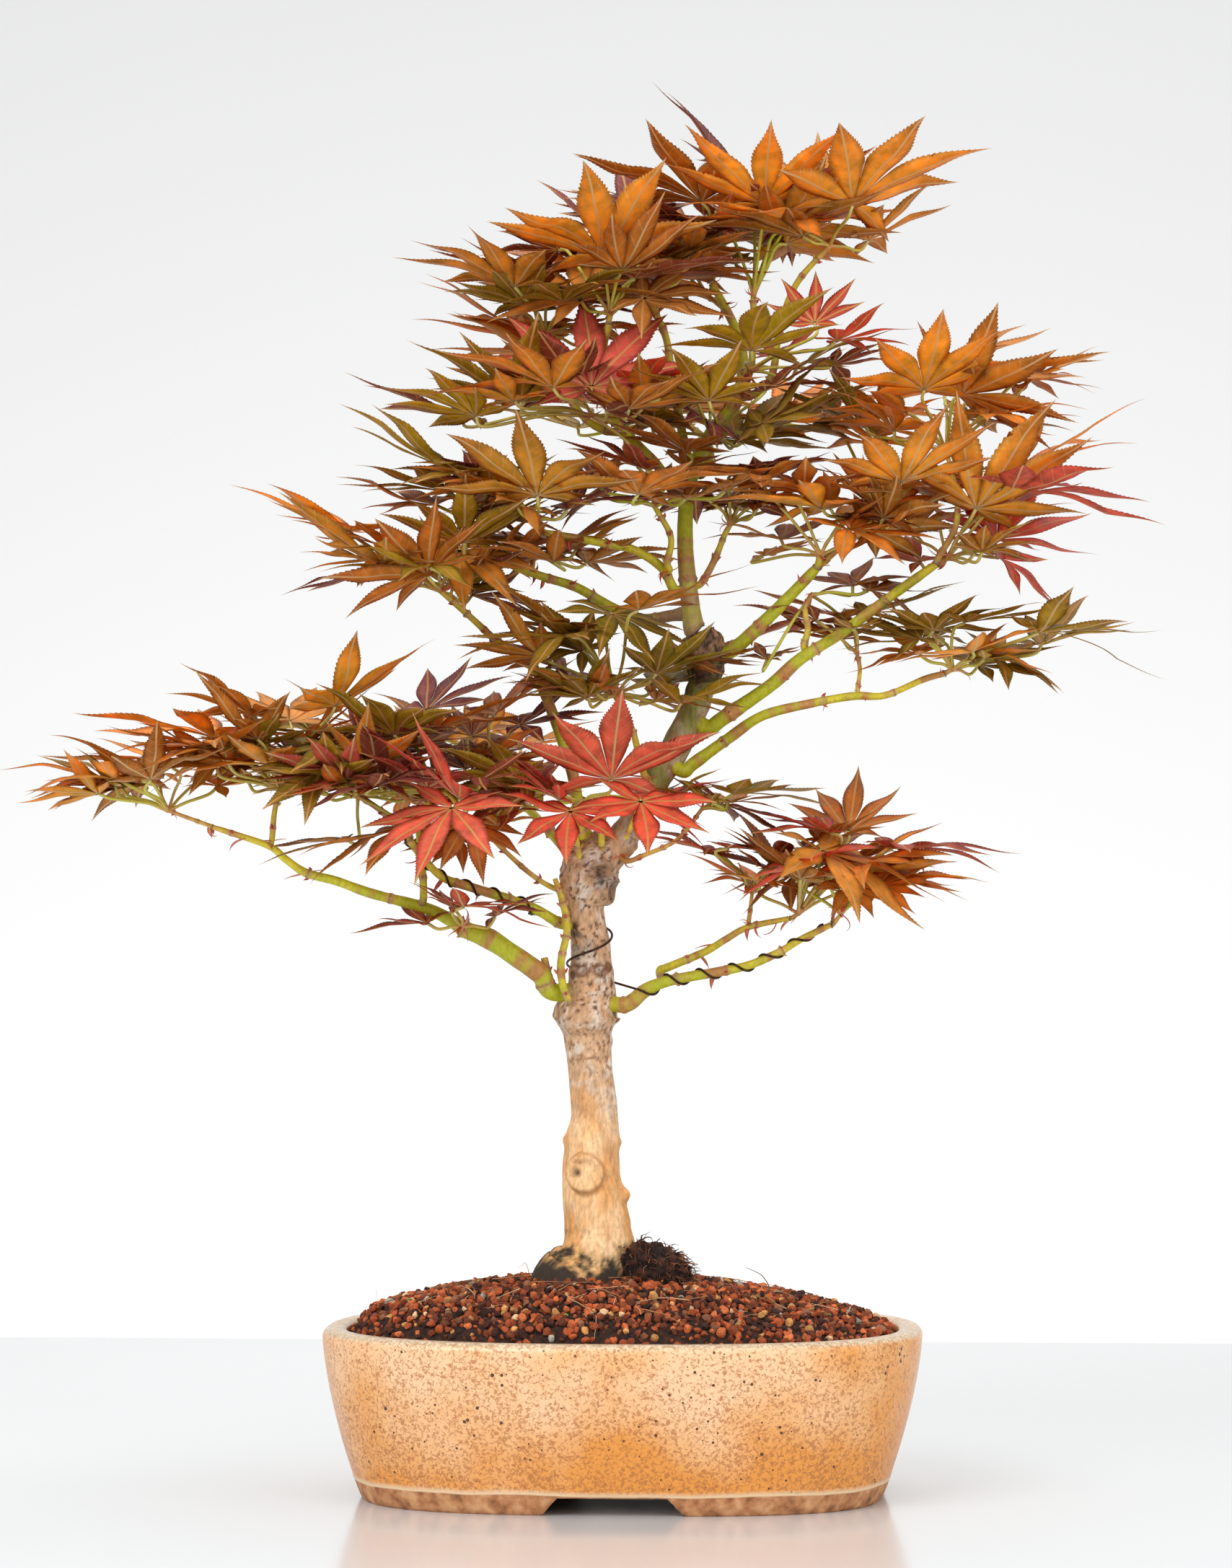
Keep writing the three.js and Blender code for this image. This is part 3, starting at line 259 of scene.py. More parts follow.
def annealed_wire():
    """Aluminium, drawn, annealed and anodised brown: a soft metallic glint on dark brown."""
    nodes = Nodes("aluminium_wire_brown_anodised")
    tone = nodes.ramp(nodes.noise(2.5, 3.0), (0.35, "#2A1810"), (0.65, "#553527"))
    return nodes.finish(nodes.principled(tone, 0.42, Metallic=0.6))


def mesh_plastic():
    """Polyethylene, moulded black mesh, dulled by fine soil dust."""
    nodes = Nodes("polyethylene_moulded_mesh")
    tone = nodes.ramp(nodes.noise(4, 4.0), (0.4, "#1C1A18"), (0.7, "#3C332B"))
    return nodes.finish(nodes.principled(tone, 0.6))


def soil_fines():
    """Clay dust and fine roots packed between the granules: dark brown and matt, painted near black
    as the shade in the gaps between the granules.
    """
    nodes = Nodes("clay_fines_damp")
    grit = nodes.noise(2.4, 5.0)
    tone = nodes.ramp(grit, (0.35, "#1A0E09"), (0.7, "#4A2818"))
    return nodes.finish(nodes.principled(tone, 0.95, Normal=nodes.bump(grit, 1.0, 0.002)))


def studio_surface(name, code, roughness, scale_mm):
    """Painted board or acrylic sheet of the studio, nearly even in colour."""
    nodes = Nodes(name)
    paler = [c + (1 - c) * 0.25 for c in linear(code)[:3]]
    tone = nodes.ramp(nodes.noise(scale_mm, 2.0), (0.2, code), (0.8, paler))
    return nodes.finish(nodes.principled(tone, roughness))


# ------------------------------------------------------------------ reading the solids

def welded(name):
    """Points in millimetres and triangles of a solid, each corner once."""
    mesh = frame["nodes"][name].data
    flat = np.empty(len(mesh.vertices) * 3)
    mesh.vertices.foreach_get("co", flat)
    points = flat.reshape(-1, 3) / MM
    mesh.calc_loop_triangles()
    corners = np.empty(len(mesh.loop_triangles) * 3, np.int32)
    mesh.loop_triangles.foreach_get("vertices", corners)
    _, first, back = np.unique(np.round(points, 3), axis=0, return_index=True, return_inverse=True)
    return points[first], back.reshape(-1)[corners].reshape(-1, 3)


def neighbours_of(triangles):
    near = {}
    for a, b, c in triangles:
        near.setdefault(a, set()).update((b, c))
        near.setdefault(b, set()).update((a, c))
        near.setdefault(c, set()).update((a, b))
    return near


def cap_centres(points, near, sides):
    """Middles of the flat round ends of a solid's limbs."""
    found = []
    for vertex, ring in near.items():
        if len(ring) != sides:
            continue
        around = points[list(ring)]
        middle = around.mean(0)
        reach = np.linalg.norm(around - points[vertex], axis=1)
        if np.linalg.norm(middle - points[vertex]) < 0.02 and np.ptp(reach) < 0.25 * reach.mean():
            found.append(vertex)
    return found


def walk_limb(points, near, start, sides):
    """Centre line and radii of a limb, ring by ring from the cap it starts at."""
    line, radii = [points[start]], []
    seen = {start}
    ring = set(near[start])
    while len(ring) == sides:
        around = points[list(ring)]
        line.append(around.mean(0))
        radii.append(np.linalg.norm(around - line[-1], axis=1).mean())
        seen |= ring
        ring = set().union(*(near[v] for v in ring)) - seen
    return np.array(line[1:]), np.array(radii)


# How many sides the solid limbs have.
WOOD_SIDES = {"trunk": 10, **{name: 6 for name in BOUGH_NODES}}
TUFT_SIDES = 8
TWIG_SIDES = 5


def limb_of(name):
    """Centre line and radii of a one-piece limb, thick end first."""
    sides = WOOD_SIDES.get(name, TUFT_SIDES)
    points, triangles = welded(name)
    near = neighbours_of(triangles)
    line, radii = walk_limb(points, near, cap_centres(points, near, sides)[0], sides)
    if radii[0] < radii[-1]:
        return line[::-1], radii[::-1]
    return line, radii


LOBES = [(-115, 0.46), (-72, 0.78), (-35, 0.95), (0, 1.0), (35, 0.95), (72, 0.78), (115, 0.46)]
MIDDLE_TIP = 6
NOTCH_SHARE = 0.3
HEEL_SHARE = 0.07
BLADE_CUP = 0.16
HALF_BLADE = 0.6
STALK_BEND = np.array([-5.0, 0.0, -3.0])


def model_rim():
    """The rim of a solid blade whose middle lobe is 1 long."""
    rim = []
    for i, (degrees, share) in enumerate(LOBES):
        rim.append((degrees, share))
        if i + 1 < len(LOBES):
            after, after_share = LOBES[i + 1]
            rim.append(((degrees + after) / 2, NOTCH_SHARE * math.sqrt(min(share, after_share))))
    rim.append((180, HEEL_SHARE))
    return np.array([
        (out * math.cos(math.radians(a)), out * math.sin(math.radians(a)), out * BLADE_CUP)
        for a, out in rim
    ])


def fit_blade(rim, around):
    """Place, axes and length of the blade whose rim points are around, with the misfit."""
    a = rim - rim.mean(0)
    b = around - around.mean(0)
    u, s, vt = np.linalg.svd(b.T @ a)
    turn = np.diag([1, 1, np.sign(np.linalg.det(u @ vt))])
    axes = u @ turn @ vt
    length = (s * np.diag(turn)).sum() / (a**2).sum()
    joint = around.mean(0) - length * axes @ rim.mean(0)
    misfit = np.abs(length * rim @ axes.T + joint - around).max()
    return misfit, joint, axes, length


def rigid_fit(model, target):
    a, b = model - model.mean(0), target - target.mean(0)
    u, _, vt = np.linalg.svd(b.T @ a)
    axes = u @ np.diag([1, 1, np.sign(np.linalg.det(u @ vt))]) @ vt
    return axes, target.mean(0) - axes @ model.mean(0)


def fit_cut_blade(rim, points, apex, ring, side):
    """The blade round an apex whose fan its stalk has cut into.

    Returns how many of its points match the solid's, and its joint, axes and length.
    """
    top = np.array([0, 0, HALF_BLADE * side])
    around = points[ring]
    reach = np.linalg.norm(around - points[apex], axis=1)
    far = around[reach.argmax()]
    slope = BLADE_CUP * HALF_BLADE * side
    square = 1 + BLADE_CUP**2
    length = (slope + math.sqrt(slope**2 + square * (reach.max() ** 2 - HALF_BLADE**2))) / square
    model = rim * length
    tip = model[MIDDLE_TIP]
    best = (0, None, None, length)
    for b, out in zip(around, reach):
        for j, place in enumerate(model):
            fits_out = abs(np.linalg.norm(place - top) - out) < 0.03
            if j == MIDDLE_TIP or not fits_out:
                continue
            if abs(np.linalg.norm(place - tip) - np.linalg.norm(b - far)) > 0.03:
                continue
            axes, joint = rigid_fit(np.array([top, tip, place]), np.array([points[apex], far, b]))
            found = model @ axes.T + joint
            gaps = np.linalg.norm(points[None] - found[:, None], axis=2).min(1)
            best = max(best, ((gaps < 0.05).sum(), joint, axes, length), key=lambda fit: fit[0])
    return best


def blades_of(points, triangles, near):
    """Every blade of a shoot as (joint, axes, length), from the tops of its solid blades."""
    rim = model_rim()
    fans = {v: {} for v, ring in near.items() if len(ring) == len(rim)}
    for a, b, c in triangles:
        for v, after, before in ((a, b, c), (b, c, a), (c, a, b)):
            if v in fans:
                fans[v][after] = before
    found = []
    for vertex, fan in fans.items():
        ring = [next(iter(fan))]
        while len(ring) < len(rim) and ring[-1] in fan:
            ring.append(fan[ring[-1]])
        if len(set(ring)) != len(rim):
            continue
        around = points[ring]
        fits = [fit_blade(rim, np.roll(around, -i, axis=0)) for i in range(len(rim))]
        misfit, joint, axes, length = min(fits, key=lambda fit: fit[0])
        if misfit < 0.05 and (points[vertex] - joint) @ axes[:, 2] > 0:
            found.append((joint, axes, length))
    for vertex, ring in near.items():
        taken = [np.linalg.norm(points[vertex] - joint) < 1.5 for joint, _, _ in found]
        if len(ring) < 8 or any(taken):
            continue
        for side in (1, -1):
            matches, joint, axes, length = fit_cut_blade(rim, points, vertex, list(ring), side)
            if matches >= 9:
                found.append((joint, axes, length))
                break
    found.sort(key=lambda blade: blade[0][0])
    return found


def shoot_of(name):
    """The blades of a shoot, its tip, and its twig's centre line and radii."""
    points, triangles = welded(name)
    near = neighbours_of(triangles)
    blades = blades_of(points, triangles, near)
    # Stalks run straight from the tip to their bends, so their lines meet at the tip.
    normal = np.zeros((3, 3))
    target = np.zeros(3)
    for joint, axes, _ in blades:
        bend = joint + axes @ STALK_BEND
        distance = np.linalg.norm(points - bend, axis=1)
        ring = [v for v in np.argsort(distance)[:3] if distance[v] < 0.75]
        away = []
        for v in ring:
            for w in near[v]:
                outward = np.linalg.norm(points[w] - joint) > np.linalg.norm(bend - joint)
                if outward and np.linalg.norm(points[w] - bend) > 2.5:
                    away.append(points[w] - points[v])
        if not away:
            continue
        along = sum(step / np.linalg.norm(step) for step in away)
        along /= np.linalg.norm(along)
        across = np.eye(3) - np.outer(along, along)
        normal += across
        target += across @ bend
    tip = np.linalg.lstsq(normal, target, rcond=None)[0]
    starts = cap_centres(points, near, TWIG_SIDES)
    start = max(starts, key=lambda v: np.linalg.norm(points[v] - tip))
    line, radii = walk_limb(points, near, start, TWIG_SIDES)
    keep = [i for i in range(len(line)) if i == 0 or np.linalg.norm(line[i] - tip) > 2]
    line = np.vstack([line[keep], tip])
    radii = np.append(radii[keep], radii[keep][-1] * 0.85)
    return blades, tip, line, radii


# ------------------------------------------------------------------ meshes

def smooth_path(line, radii, step):
    """A rounded path through the points of a line, with a point about every step."""
    line = np.asarray(line, float)
    radii = np.asarray(radii, float)
    ends = np.vstack([2 * line[0] - line[1], line, 2 * line[-1] - line[-2]])
    places, widths = [], []
    for i in range(len(line) - 1):
        p0, p1, p2, p3 = ends[i : i + 4]
        count = max(2, int(round(np.linalg.norm(p2 - p1) / step)))
        t = np.linspace(0, 1, count, endpoint=False)[:, None]
        places.append(0.5 * (
            2 * p1 + (p2 - p0) * t + (2 * p0 - 5 * p1 + 4 * p2 - p3) * t**2
            + (3 * p1 - p0 - 3 * p2 + p3) * t**3
        ))
        ease = (t * t * (3 - 2 * t))[:, 0]
        widths.append(radii[i] + (radii[i + 1] - radii[i]) * ease)
    places.append(line[-1:])
    widths.append(radii[-1:])
    return np.vstack(places), np.concatenate(widths)


def frames_along(path):
    """Unit tangents, and two directions across them that start from the front and don't spin."""
    tangents = np.gradient(path, axis=0)
    tangents /= np.linalg.norm(tangents, axis=1)[:, None]
    front = np.array([0.0, -1.0, 0.0])
    fronts = np.empty_like(path)
    for i, tangent in enumerate(tangents):
        front = front - tangent * (front @ tangent)
        front /= np.linalg.norm(front)
        fronts[i] = front
    return tangents, fronts, np.cross(tangents, fronts)


def ring_directions(path, sides):
    """Directions from each point of a path to a ring round it, and the ring's angles."""
    _, fronts, rights = frames_along(path)
    angles = np.linspace(0, 2 * math.pi, sides, endpoint=False)
    cos, sin = np.cos(angles)[None, :, None], np.sin(angles)[None, :, None]
    return fronts[:, None] * cos + rights[:, None] * sin, angles


def distances_along(path):
    steps = np.linalg.norm(np.diff(path, axis=0), axis=1)
    return np.concatenate([[0], np.cumsum(steps)])


def heading_vector(heading, pitch):
    flat = math.cos(pitch)
    return np.array([math.cos(heading) * flat, math.sin(heading) * flat, math.sin(pitch)])


class Builder:
    """Gathers points, faces and colours of one piece."""

    def __init__(self):
        self.points, self.faces, self.tints, self.count = [], [], [], 0

    def tube(self, path, radii, sides, tint):
        """A round limb closed at both ends. tint is one colour or one for every path point."""
        ring, _ = ring_directions(path, sides)
        points = (path[:, None] + ring * np.asarray(radii)[:, None, None]).reshape(-1, 3)
        tints = np.asarray(tint, float)
        if tints.ndim == 1:
            tints = np.tile(tints, (len(path), 1))
        self.ringed(points, np.repeat(tints, sides, axis=0), sides, path[0], path[-1])

    def ringed(self, points, tints, sides, first, last):
        """Rings of points joined to a closed skin, with a middle point at both ends."""
        base, rings = self.count, len(points) // sides
        self.points.append(np.vstack([points, first, last]))
        self.tints.append(np.vstack([tints, tints[0], tints[-1]]))
        grid = np.arange(rings * sides).reshape(rings, sides) + base
        after = np.roll(grid, -1, axis=1)
        quads = np.stack([grid[:-1], after[:-1], after[1:], grid[1:]], axis=-1).reshape(-1, 4)
        head, tail = base + rings * sides, base + rings * sides + 1
        self.faces += quads.tolist()
        self.faces += [[head, b, a] for a, b in zip(grid[0], after[0])]
        self.faces += [[tail, a, b] for a, b in zip(grid[-1], after[-1])]
        self.count += rings * sides + 2

    def patch(self, points, faces, tint):
        """A separate small body in one colour."""
        self.points.append(points)
        self.tints.append(np.tile(tint, (len(points), 1)))
        self.faces += [[self.count + v for v in face] for face in faces]
        self.count += len(points)

    def piece(self, name, material, slot, replaced=(), smooth=True):
        """Makes the Blender object, with its material and the solids it stands for. slot is not
        used.
        """
        points = np.vstack(self.points)
        made = mesh_piece(name, points, self.faces, [material], replaced, smooth)
        paint(made, "tint", np.vstack(self.tints))
        return made


def paint(piece, layer, tints):
    opaque = np.hstack([tints, np.ones((len(tints), 1))])
    attribute = piece.data.color_attributes.new(layer, "FLOAT_COLOR", "POINT")
    attribute.data.foreach_set("color", opaque.astype(np.float32).ravel())


def mesh_piece(name, points, faces, materials, replaced=(), smooth=True, slots=None):
    mesh = bpy.data.meshes.new(name)
    mesh.from_pydata((points * MM).tolist(), [], faces)
    mesh.update()
    made = bpy.data.objects.new(name, mesh)
    bpy.context.scene.collection.objects.link(made)
    for material in materials:
        mesh.materials.append(material)
    if slots is not None:
        mesh.polygons.foreach_set("material_index", np.array(slots, np.int32))
    mesh.polygons.foreach_set("use_smooth", np.full(len(mesh.polygons), smooth))
    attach(made, "root")
    if replaced:
        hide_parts(*replaced)
    return made


# ------------------------------------------------------------------ pot

POT_LOW, POT_HIGH = (np.array(corner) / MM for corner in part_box("pot"))
POT_MIDDLE = (POT_LOW + POT_HIGH) / 2
POT_TOP = POT_HIGH[2]
LIP_EDGE = 0.2  # how far inside POT_HALF the lip stands
POT_HALF = (POT_HIGH - POT_LOW)[:2] / 2 + LIP_EDGE
POT_TAPER = 16.8
POT_WALL = 9.0
LIP_ROLL = 3.5
LIP_WIDTH = 4.0
FLOOR_TOP = 13.0
FOOT_HEIGHT = 8.0
FOOT_WIDTH = 11.0
NOTCH_HALF = 27.5
NOTCH_HEIGHT = 7.3
NOTCH_SLOPE = 5.2
DRAIN_RADIUS = 9.0
DRAIN_SPACING = 110.0
DRILL_SIDES = 64
DRILL_DEPTH = 40.0
POT_SIDES = 480


def wall_inset(z):
    return POT_TAPER * (1 - z / POT_TOP) ** 1.55


def squareness_at(z):
    """Exponent of the oval: squarer at the foot than at the lip."""
    return 3.0 - 0.5 * min(max(z / POT_TOP, 0), 1)


def pot_outline(inset, squareness):
    """The pot's oval at one level, drawn in by inset."""
    angles = np.linspace(0, 2 * math.pi, POT_SIDES, endpoint=False)
    power = 2 / squareness
    cos, sin = np.cos(angles), np.sin(angles)
    x = np.sign(cos) * np.abs(cos) ** power * (POT_HALF[0] - inset)
    y = np.sign(sin) * np.abs(sin) ** power * (POT_HALF[1] - inset)
    return x, y


def notch_floor(x):
    """How high the foot's underside is at a place along the front or back."""
    rise = (NOTCH_HALF + NOTCH_SLOPE - np.abs(x)) / (2 * NOTCH_SLOPE)
    return np.clip(rise, 0, 1) * (NOTCH_HEIGHT + NOTCH_SLOPE) - NOTCH_SLOPE


def pot_profile():
    """(inset, height, waviness) from under the foot, up the wall and down inside."""
    foot = wall_inset(0)
    rows = [
        (foot + FOOT_WIDTH + 1.0, FOOT_HEIGHT, 0),
        (foot + FOOT_WIDTH + 0.5, FOOT_HEIGHT * 0.6, 0),
        (foot + FOOT_WIDTH + 0.2, 0.8, 0),
        (foot + FOOT_WIDTH - 0.8, 0.0, 0),
        (foot + FOOT_WIDTH * 0.5, 0.0, 0),
        (foot + 0.9, 0.0, 0),
        (foot + 0.1, 0.9, 0),
        (wall_inset(2), 2.4, 0.15),
        (wall_inset(5), 5.0, 0.2),
        (wall_inset(7.5) + 0.05, 7.4, 0.1),
        (wall_inset(8.5) - 0.25, 8.6, 0.05),
    ]
    for z in np.linspace(10.5, POT_TOP - LIP_ROLL, 22):
        rows.append((wall_inset(z) if z < POT_TOP - LIP_ROLL else LIP_EDGE, z, 0.12))
    for turn in np.linspace(12, 90, 7):
        angle = math.radians(turn)
        inset = LIP_EDGE + LIP_WIDTH * (1 - math.cos(angle))
        rows.append((inset, POT_TOP - LIP_ROLL * (1 - math.sin(angle)), 0.06))
    rows += [
        (POT_WALL - 2.4, POT_TOP, 0.06),
        (POT_WALL - 0.6, POT_TOP - 0.15, 0.06),
        (POT_WALL + 0.7, POT_TOP - 0.7, 0.0),
        (POT_WALL + 1.4, POT_TOP - 1.8, 0.0),
    ]
    for z in np.linspace(POT_TOP - 5, FLOOR_TOP + 3, 8):
        rows.append((wall_inset(z) + POT_WALL, z, 0))
    rows.append((wall_inset(FLOOR_TOP) + POT_WALL + 2, FLOOR_TOP, 0))
    return rows


def pot_points():
    rings = []
    for inset, z, wave in pot_profile():
        x, y = pot_outline(inset, squareness_at(z))
        height = np.full(POT_SIDES, z)
        if z < FOOT_HEIGHT:
            height = np.maximum(height, notch_floor(x))
        ring = np.stack([x, y, height], axis=1)
        if wave:
            out = ring[:, :2] / np.linalg.norm(ring[:, :2], axis=1)[:, None]
            swell = np.array([noise.noise(Vector(p) * 0.035) for p in ring]) * wave * 2
            ring[:, :2] += out * np.clip(swell, -wave, 0.15)[:, None]
        rings.append(ring)
    points = np.vstack(rings)
    points[:, :2] += POT_MIDDLE[:2]
    return points


class BONSAI_OT_pot(bpy.types.Operator):
    """Throws the oval glazed pot on its notched foot ring, with two drain holes"""

    bl_idname = "bonsai.pot"
    bl_label = "Glazed pot"

    def execute(self, context):
        points = pot_points()
        build = Builder()
        under = np.append(POT_MIDDLE[:2], FOOT_HEIGHT)
        floor = np.append(POT_MIDDLE[:2], FLOOR_TOP)
        build.ringed(points, np.ones((len(points), 3)), POT_SIDES, under, floor)
        pot = build.piece("glazed_pot", stoneware_glaze(), "glaze", ["pot"])
        for side in (-1, 1):
            x = POT_MIDDLE[0] + side * DRAIN_SPACING / 2
            bpy.ops.mesh.primitive_cylinder_add(
                vertices=DRILL_SIDES, radius=DRAIN_RADIUS * MM, depth=DRILL_DEPTH * MM,
                location=(x * MM, POT_MIDDLE[1] * MM, FLOOR_TOP * MM),
            )
            drill = context.object
            cut = pot.modifiers.new("drain", "BOOLEAN")
            cut.operation, cut.solver, cut.object = "DIFFERENCE", "EXACT", drill
            context.view_layer.update()
            drilled = pot.evaluated_get(context.evaluated_depsgraph_get())
            solid = bpy.data.meshes.new_from_object(drilled)
            pot.modifiers.clear()
            pot.data = solid
            bpy.data.objects.remove(drill)
        return {"FINISHED"}


def dress(material, *nodes):
    """Gives solids that stay in view a material."""
    for name in nodes:
        mesh = frame["nodes"][name].data
        for i in range(len(mesh.materials)):
            mesh.materials[i] = material


class BONSAI_OT_screens(bpy.types.Operator):
    """Gives the mesh screens over the drain holes their moulded plastic"""

    bl_idname = "bonsai.screens"
    bl_label = "Drainage screens"

    def execute(self, context):
        dress(mesh_plastic(), "drainage_screen_left", "drainage_screen_right")
        return {"FINISHED"}


# ------------------------------------------------------------------ soil

class Ground:
    """The top of the soil solid."""

    def __init__(self):
        points, triangles = welded("soil_bed")
        self.tree = BVHTree.FromPolygons([tuple(p) for p in points], triangles.tolist())

    def at(self, x, y):
        hit, normal, _, _ = self.tree.ray_cast(Vector((x, y, 400)), Vector((0, 0, -1)))
        return hit, normal


PEBBLE_SHAPES = 7
PEBBLE_FLATS = 11
ROW_SPACING = 0.87  # of the spacing in a row
HAIR_COUNT = 110
LITTER_COUNT = 34


def pebble_shapes(chance):
    """Broken, blunt-edged granule shapes about 1 across."""
    shapes = []
    for _ in range(PEBBLE_SHAPES):
        bpy.ops.mesh.primitive_ico_sphere_add(subdivisions=2, radius=0.5)
        ball = bpy.context.object
        points = np.array([v.co for v in ball.data.vertices])
        faces = [list(p.vertices) for p in ball.data.polygons]
        bpy.data.meshes.remove(ball.data)
        for _ in range(PEBBLE_FLATS):
            direction = np.array(Vector(chance.gauss(0, 1) for _ in range(3)).normalized())
            over = np.maximum(points @ direction - chance.uniform(0.2, 0.4), 0)
            points = points - over[:, None] * direction
        offset = Vector((chance.uniform(0, 50), 0, 0))
        rough = np.array([noise.noise(Vector(p) * 4 + offset) for p in points])
        shapes.append((points * (1 + 0.16 * rough[:, None]), faces))
    return shapes


def turned(chance):
    """A random rotation."""
    q = np.array([chance.gauss(0, 1) for _ in range(4)])
    w, x, y, z = q / np.linalg.norm(q)
    return np.array([
        [1 - 2 * (y * y + z * z), 2 * (x * y - z * w), 2 * (x * z + y * w)],
        [2 * (x * y + z * w), 1 - 2 * (x * x + z * z), 2 * (y * z - x * w)],
        [2 * (x * z - y * w), 2 * (y * z + x * w), 1 - 2 * (x * x + y * y)],
    ])


SOIL_TONES = [
    ("#86401F", 16), ("#A24C26", 16), ("#B85A2E", 12), ("#62301A", 14), ("#3A1C11", 11),
    ("#C86A3A", 8), ("#8C5A3E", 6), ("#D49858", 3), ("#E4BC8E", 1.5), ("#B4AE9C", 0.7),
]


def inside_pot(x, y, inset):
    dx = abs(x - POT_MIDDLE[0]) / (POT_HALF[0] - inset)
    dy = abs(y - POT_MIDDLE[1]) / (POT_HALF[1] - inset)
    return dx**2.5 + dy**2.5 < 1


def scatter_granules(builds, ground, look):
    """Covers the soil with clay granules, in rows shaken out of order: front and back apart."""
    chance = random.Random(11)
    shapes = pebble_shapes(chance)
    tones = [rgb(code) for code, _ in SOIL_TONES]
    weights = [weight for _, weight in SOIL_TONES]
    step = look.granule * 0.76
    foot, _ = limb_of("trunk")
    for row in range(int(2 * POT_HALF[1] / (step * ROW_SPACING)) + 1):
        for column in range(int(2 * POT_HALF[0] / step) + 1):
            x = POT_LOW[0] + (column + 0.5 * (row % 2)) * step + chance.uniform(-0.42, 0.42) * step
            y = POT_LOW[1] + row * step * ROW_SPACING + chance.uniform(-0.42, 0.42) * step
            size = look.granule * chance.choice((0.55, 0.75, 0.85, 1, 1.1, 1.3))
            if not inside_pot(x, y, POT_WALL + 1.2 + size * 0.45):
                continue
            if math.hypot(x - foot[1][0], y - foot[1][1]) < 12:
                continue
            hit, _ = ground.at(x, y)
            if hit is None or hit.z < POT_TOP - 12:
                continue
            points, faces = chance.choice(shapes)
            squash = np.array([1, chance.uniform(0.75, 1), chance.uniform(0.65, 0.9)])
            placed = (points * size * squash) @ turned(chance).T
            placed += (x, y, hit.z + size * chance.uniform(0.02, 0.34))
            tone = chance.choices(tones, weights)[0] * chance.uniform(0.75, 1.3)
            build = builds[0] if y < POT_MIDDLE[1] else builds[1]
            build.patch(placed, faces, tone)


def arc(chance, start, heading, length, lift, curl, parts=9):
    """A thin curved path that rises from a start and bends over."""
    points = [np.array(start, float)]
    pitch = lift
    for _ in range(parts):
        points.append(points[-1] + heading_vector(heading, pitch) * length / parts)
        heading += chance.gauss(0, 0.25) + curl * 0.15
        pitch += chance.gauss(0, 0.18) - curl * 0.22
    return np.array(points)


def scatter_root_hairs(build, ground):
    """Loose pale root hairs on the soil: most lie on it, and some stand up."""
    chance = random.Random(5)
    tones = [rgb(code) for code in ("#C99A68", "#9A6A44", "#B98458", "#6E4630", "#D8B48A")]
    for i in range(HAIR_COUNT):
        around = chance.uniform(0, 2 * math.pi)
        out = chance.uniform(0.12, 0.9) ** 0.8
        x = POT_MIDDLE[0] + math.cos(around) * out * (POT_HALF[0] - 16)
        y = POT_MIDDLE[1] + math.sin(around) * out * (POT_HALF[1] - 16)
        if not inside_pot(x, y, POT_WALL + 6):
            continue
        hit, _ = ground.at(x, y)
        if hit is None:
            continue
        standing = i % 9 == 0
        length = chance.uniform(9, 17) if standing else chance.uniform(9, 26)
        lift = chance.uniform(0.9, 1.5) if standing else chance.uniform(0.0, 0.35)
        heading, curl = chance.uniform(0, 2 * math.pi), 1.0 if standing else 0.2
        path = arc(chance, (x, y, hit.z + 1.6), heading, length, lift, curl)
        if not standing:
            for point in path:
                below, _ = ground.at(point[0], point[1])
                inside = below is not None and inside_pot(point[0], point[1], POT_WALL + 3)
                point[2] = (below.z if inside else path[0][2] - 2.4) + 2.9
        width = chance.uniform(0.14, 0.3)
        build.tube(path, np.linspace(width, width * 0.35, len(path)), 5, chance.choice(tones))


def scatter_litter(build, ground):
    """A few green and pale scraps of moss and leaf between the granules."""
    chance = random.Random(23)
    tones = [rgb(code) for code in ("#7FA84E", "#A8A58E", "#C2893F", "#B8B4A0", "#86A05A")]
    for _ in range(LITTER_COUNT):
        around = chance.uniform(0, 2 * math.pi)
        out = chance.uniform(0.3, 0.94)
        x = POT_MIDDLE[0] + math.cos(around) * out * (POT_HALF[0] - 17)
        y = POT_MIDDLE[1] + math.sin(around) * out * (POT_HALF[1] - 17)
        if not inside_pot(x, y, POT_WALL + 5):
            continue
        hit, _ = ground.at(x, y)
        length, width = chance.uniform(1.8, 4.2), chance.uniform(0.5, 1.1)
        heading, lift = chance.uniform(0, 6.3), chance.uniform(0, 0.7)
        path = arc(chance, (x, y, hit.z + 2.2), heading, length, lift, 0.5, 5)
        radii = width * np.array([0.35, 0.8, 1, 0.9, 0.6, 0.2]) * 0.5
        build.tube(path, radii, 6, chance.choice(tones))


class BONSAI_OT_soil(bpy.types.Operator):
    """Heaps baked clay granules, root hairs and scraps of litter over the soil"""

    bl_idname = "bonsai.soil"
    bl_label = "Soil"

    def execute(self, context):
        look = context.scene.bonsai_soil
        ground = Ground()
        # Fired clay granules: matt, open-pored and dusty, from red-brown to nearly black.
        clay = painted("baked_clay_granules", 0.92, 1.1, 0.4, flecks=(2.2, 0.62, 0.72, "#8A5436"))
        # The soil bed under the granules is painted near black: painted shade in the gaps between
        # the granules.
        dress(soil_fines(), "soil_bed")
        granules = (Builder(), Builder())
        scatter_granules(granules, ground, look)
        for build, place in zip(granules, ("front", "back")):
            build.piece("soil_granules_" + place, clay, "soil", smooth=False)
        # Dead root hairs and litter: dry fibre, dull, straw to brown.
        fibre = painted("dry_root_fibre", 0.85, 2.0, 0.25)
        hairs = Builder()
        scatter_root_hairs(hairs, ground)
        hairs.piece("root_hairs", fibre, "root")
        litter = Builder()
        scatter_litter(litter, ground)
        litter.piece("soil_litter", fibre, "soil")
        return {"FINISHED"}


# ------------------------------------------------------------------ trunk

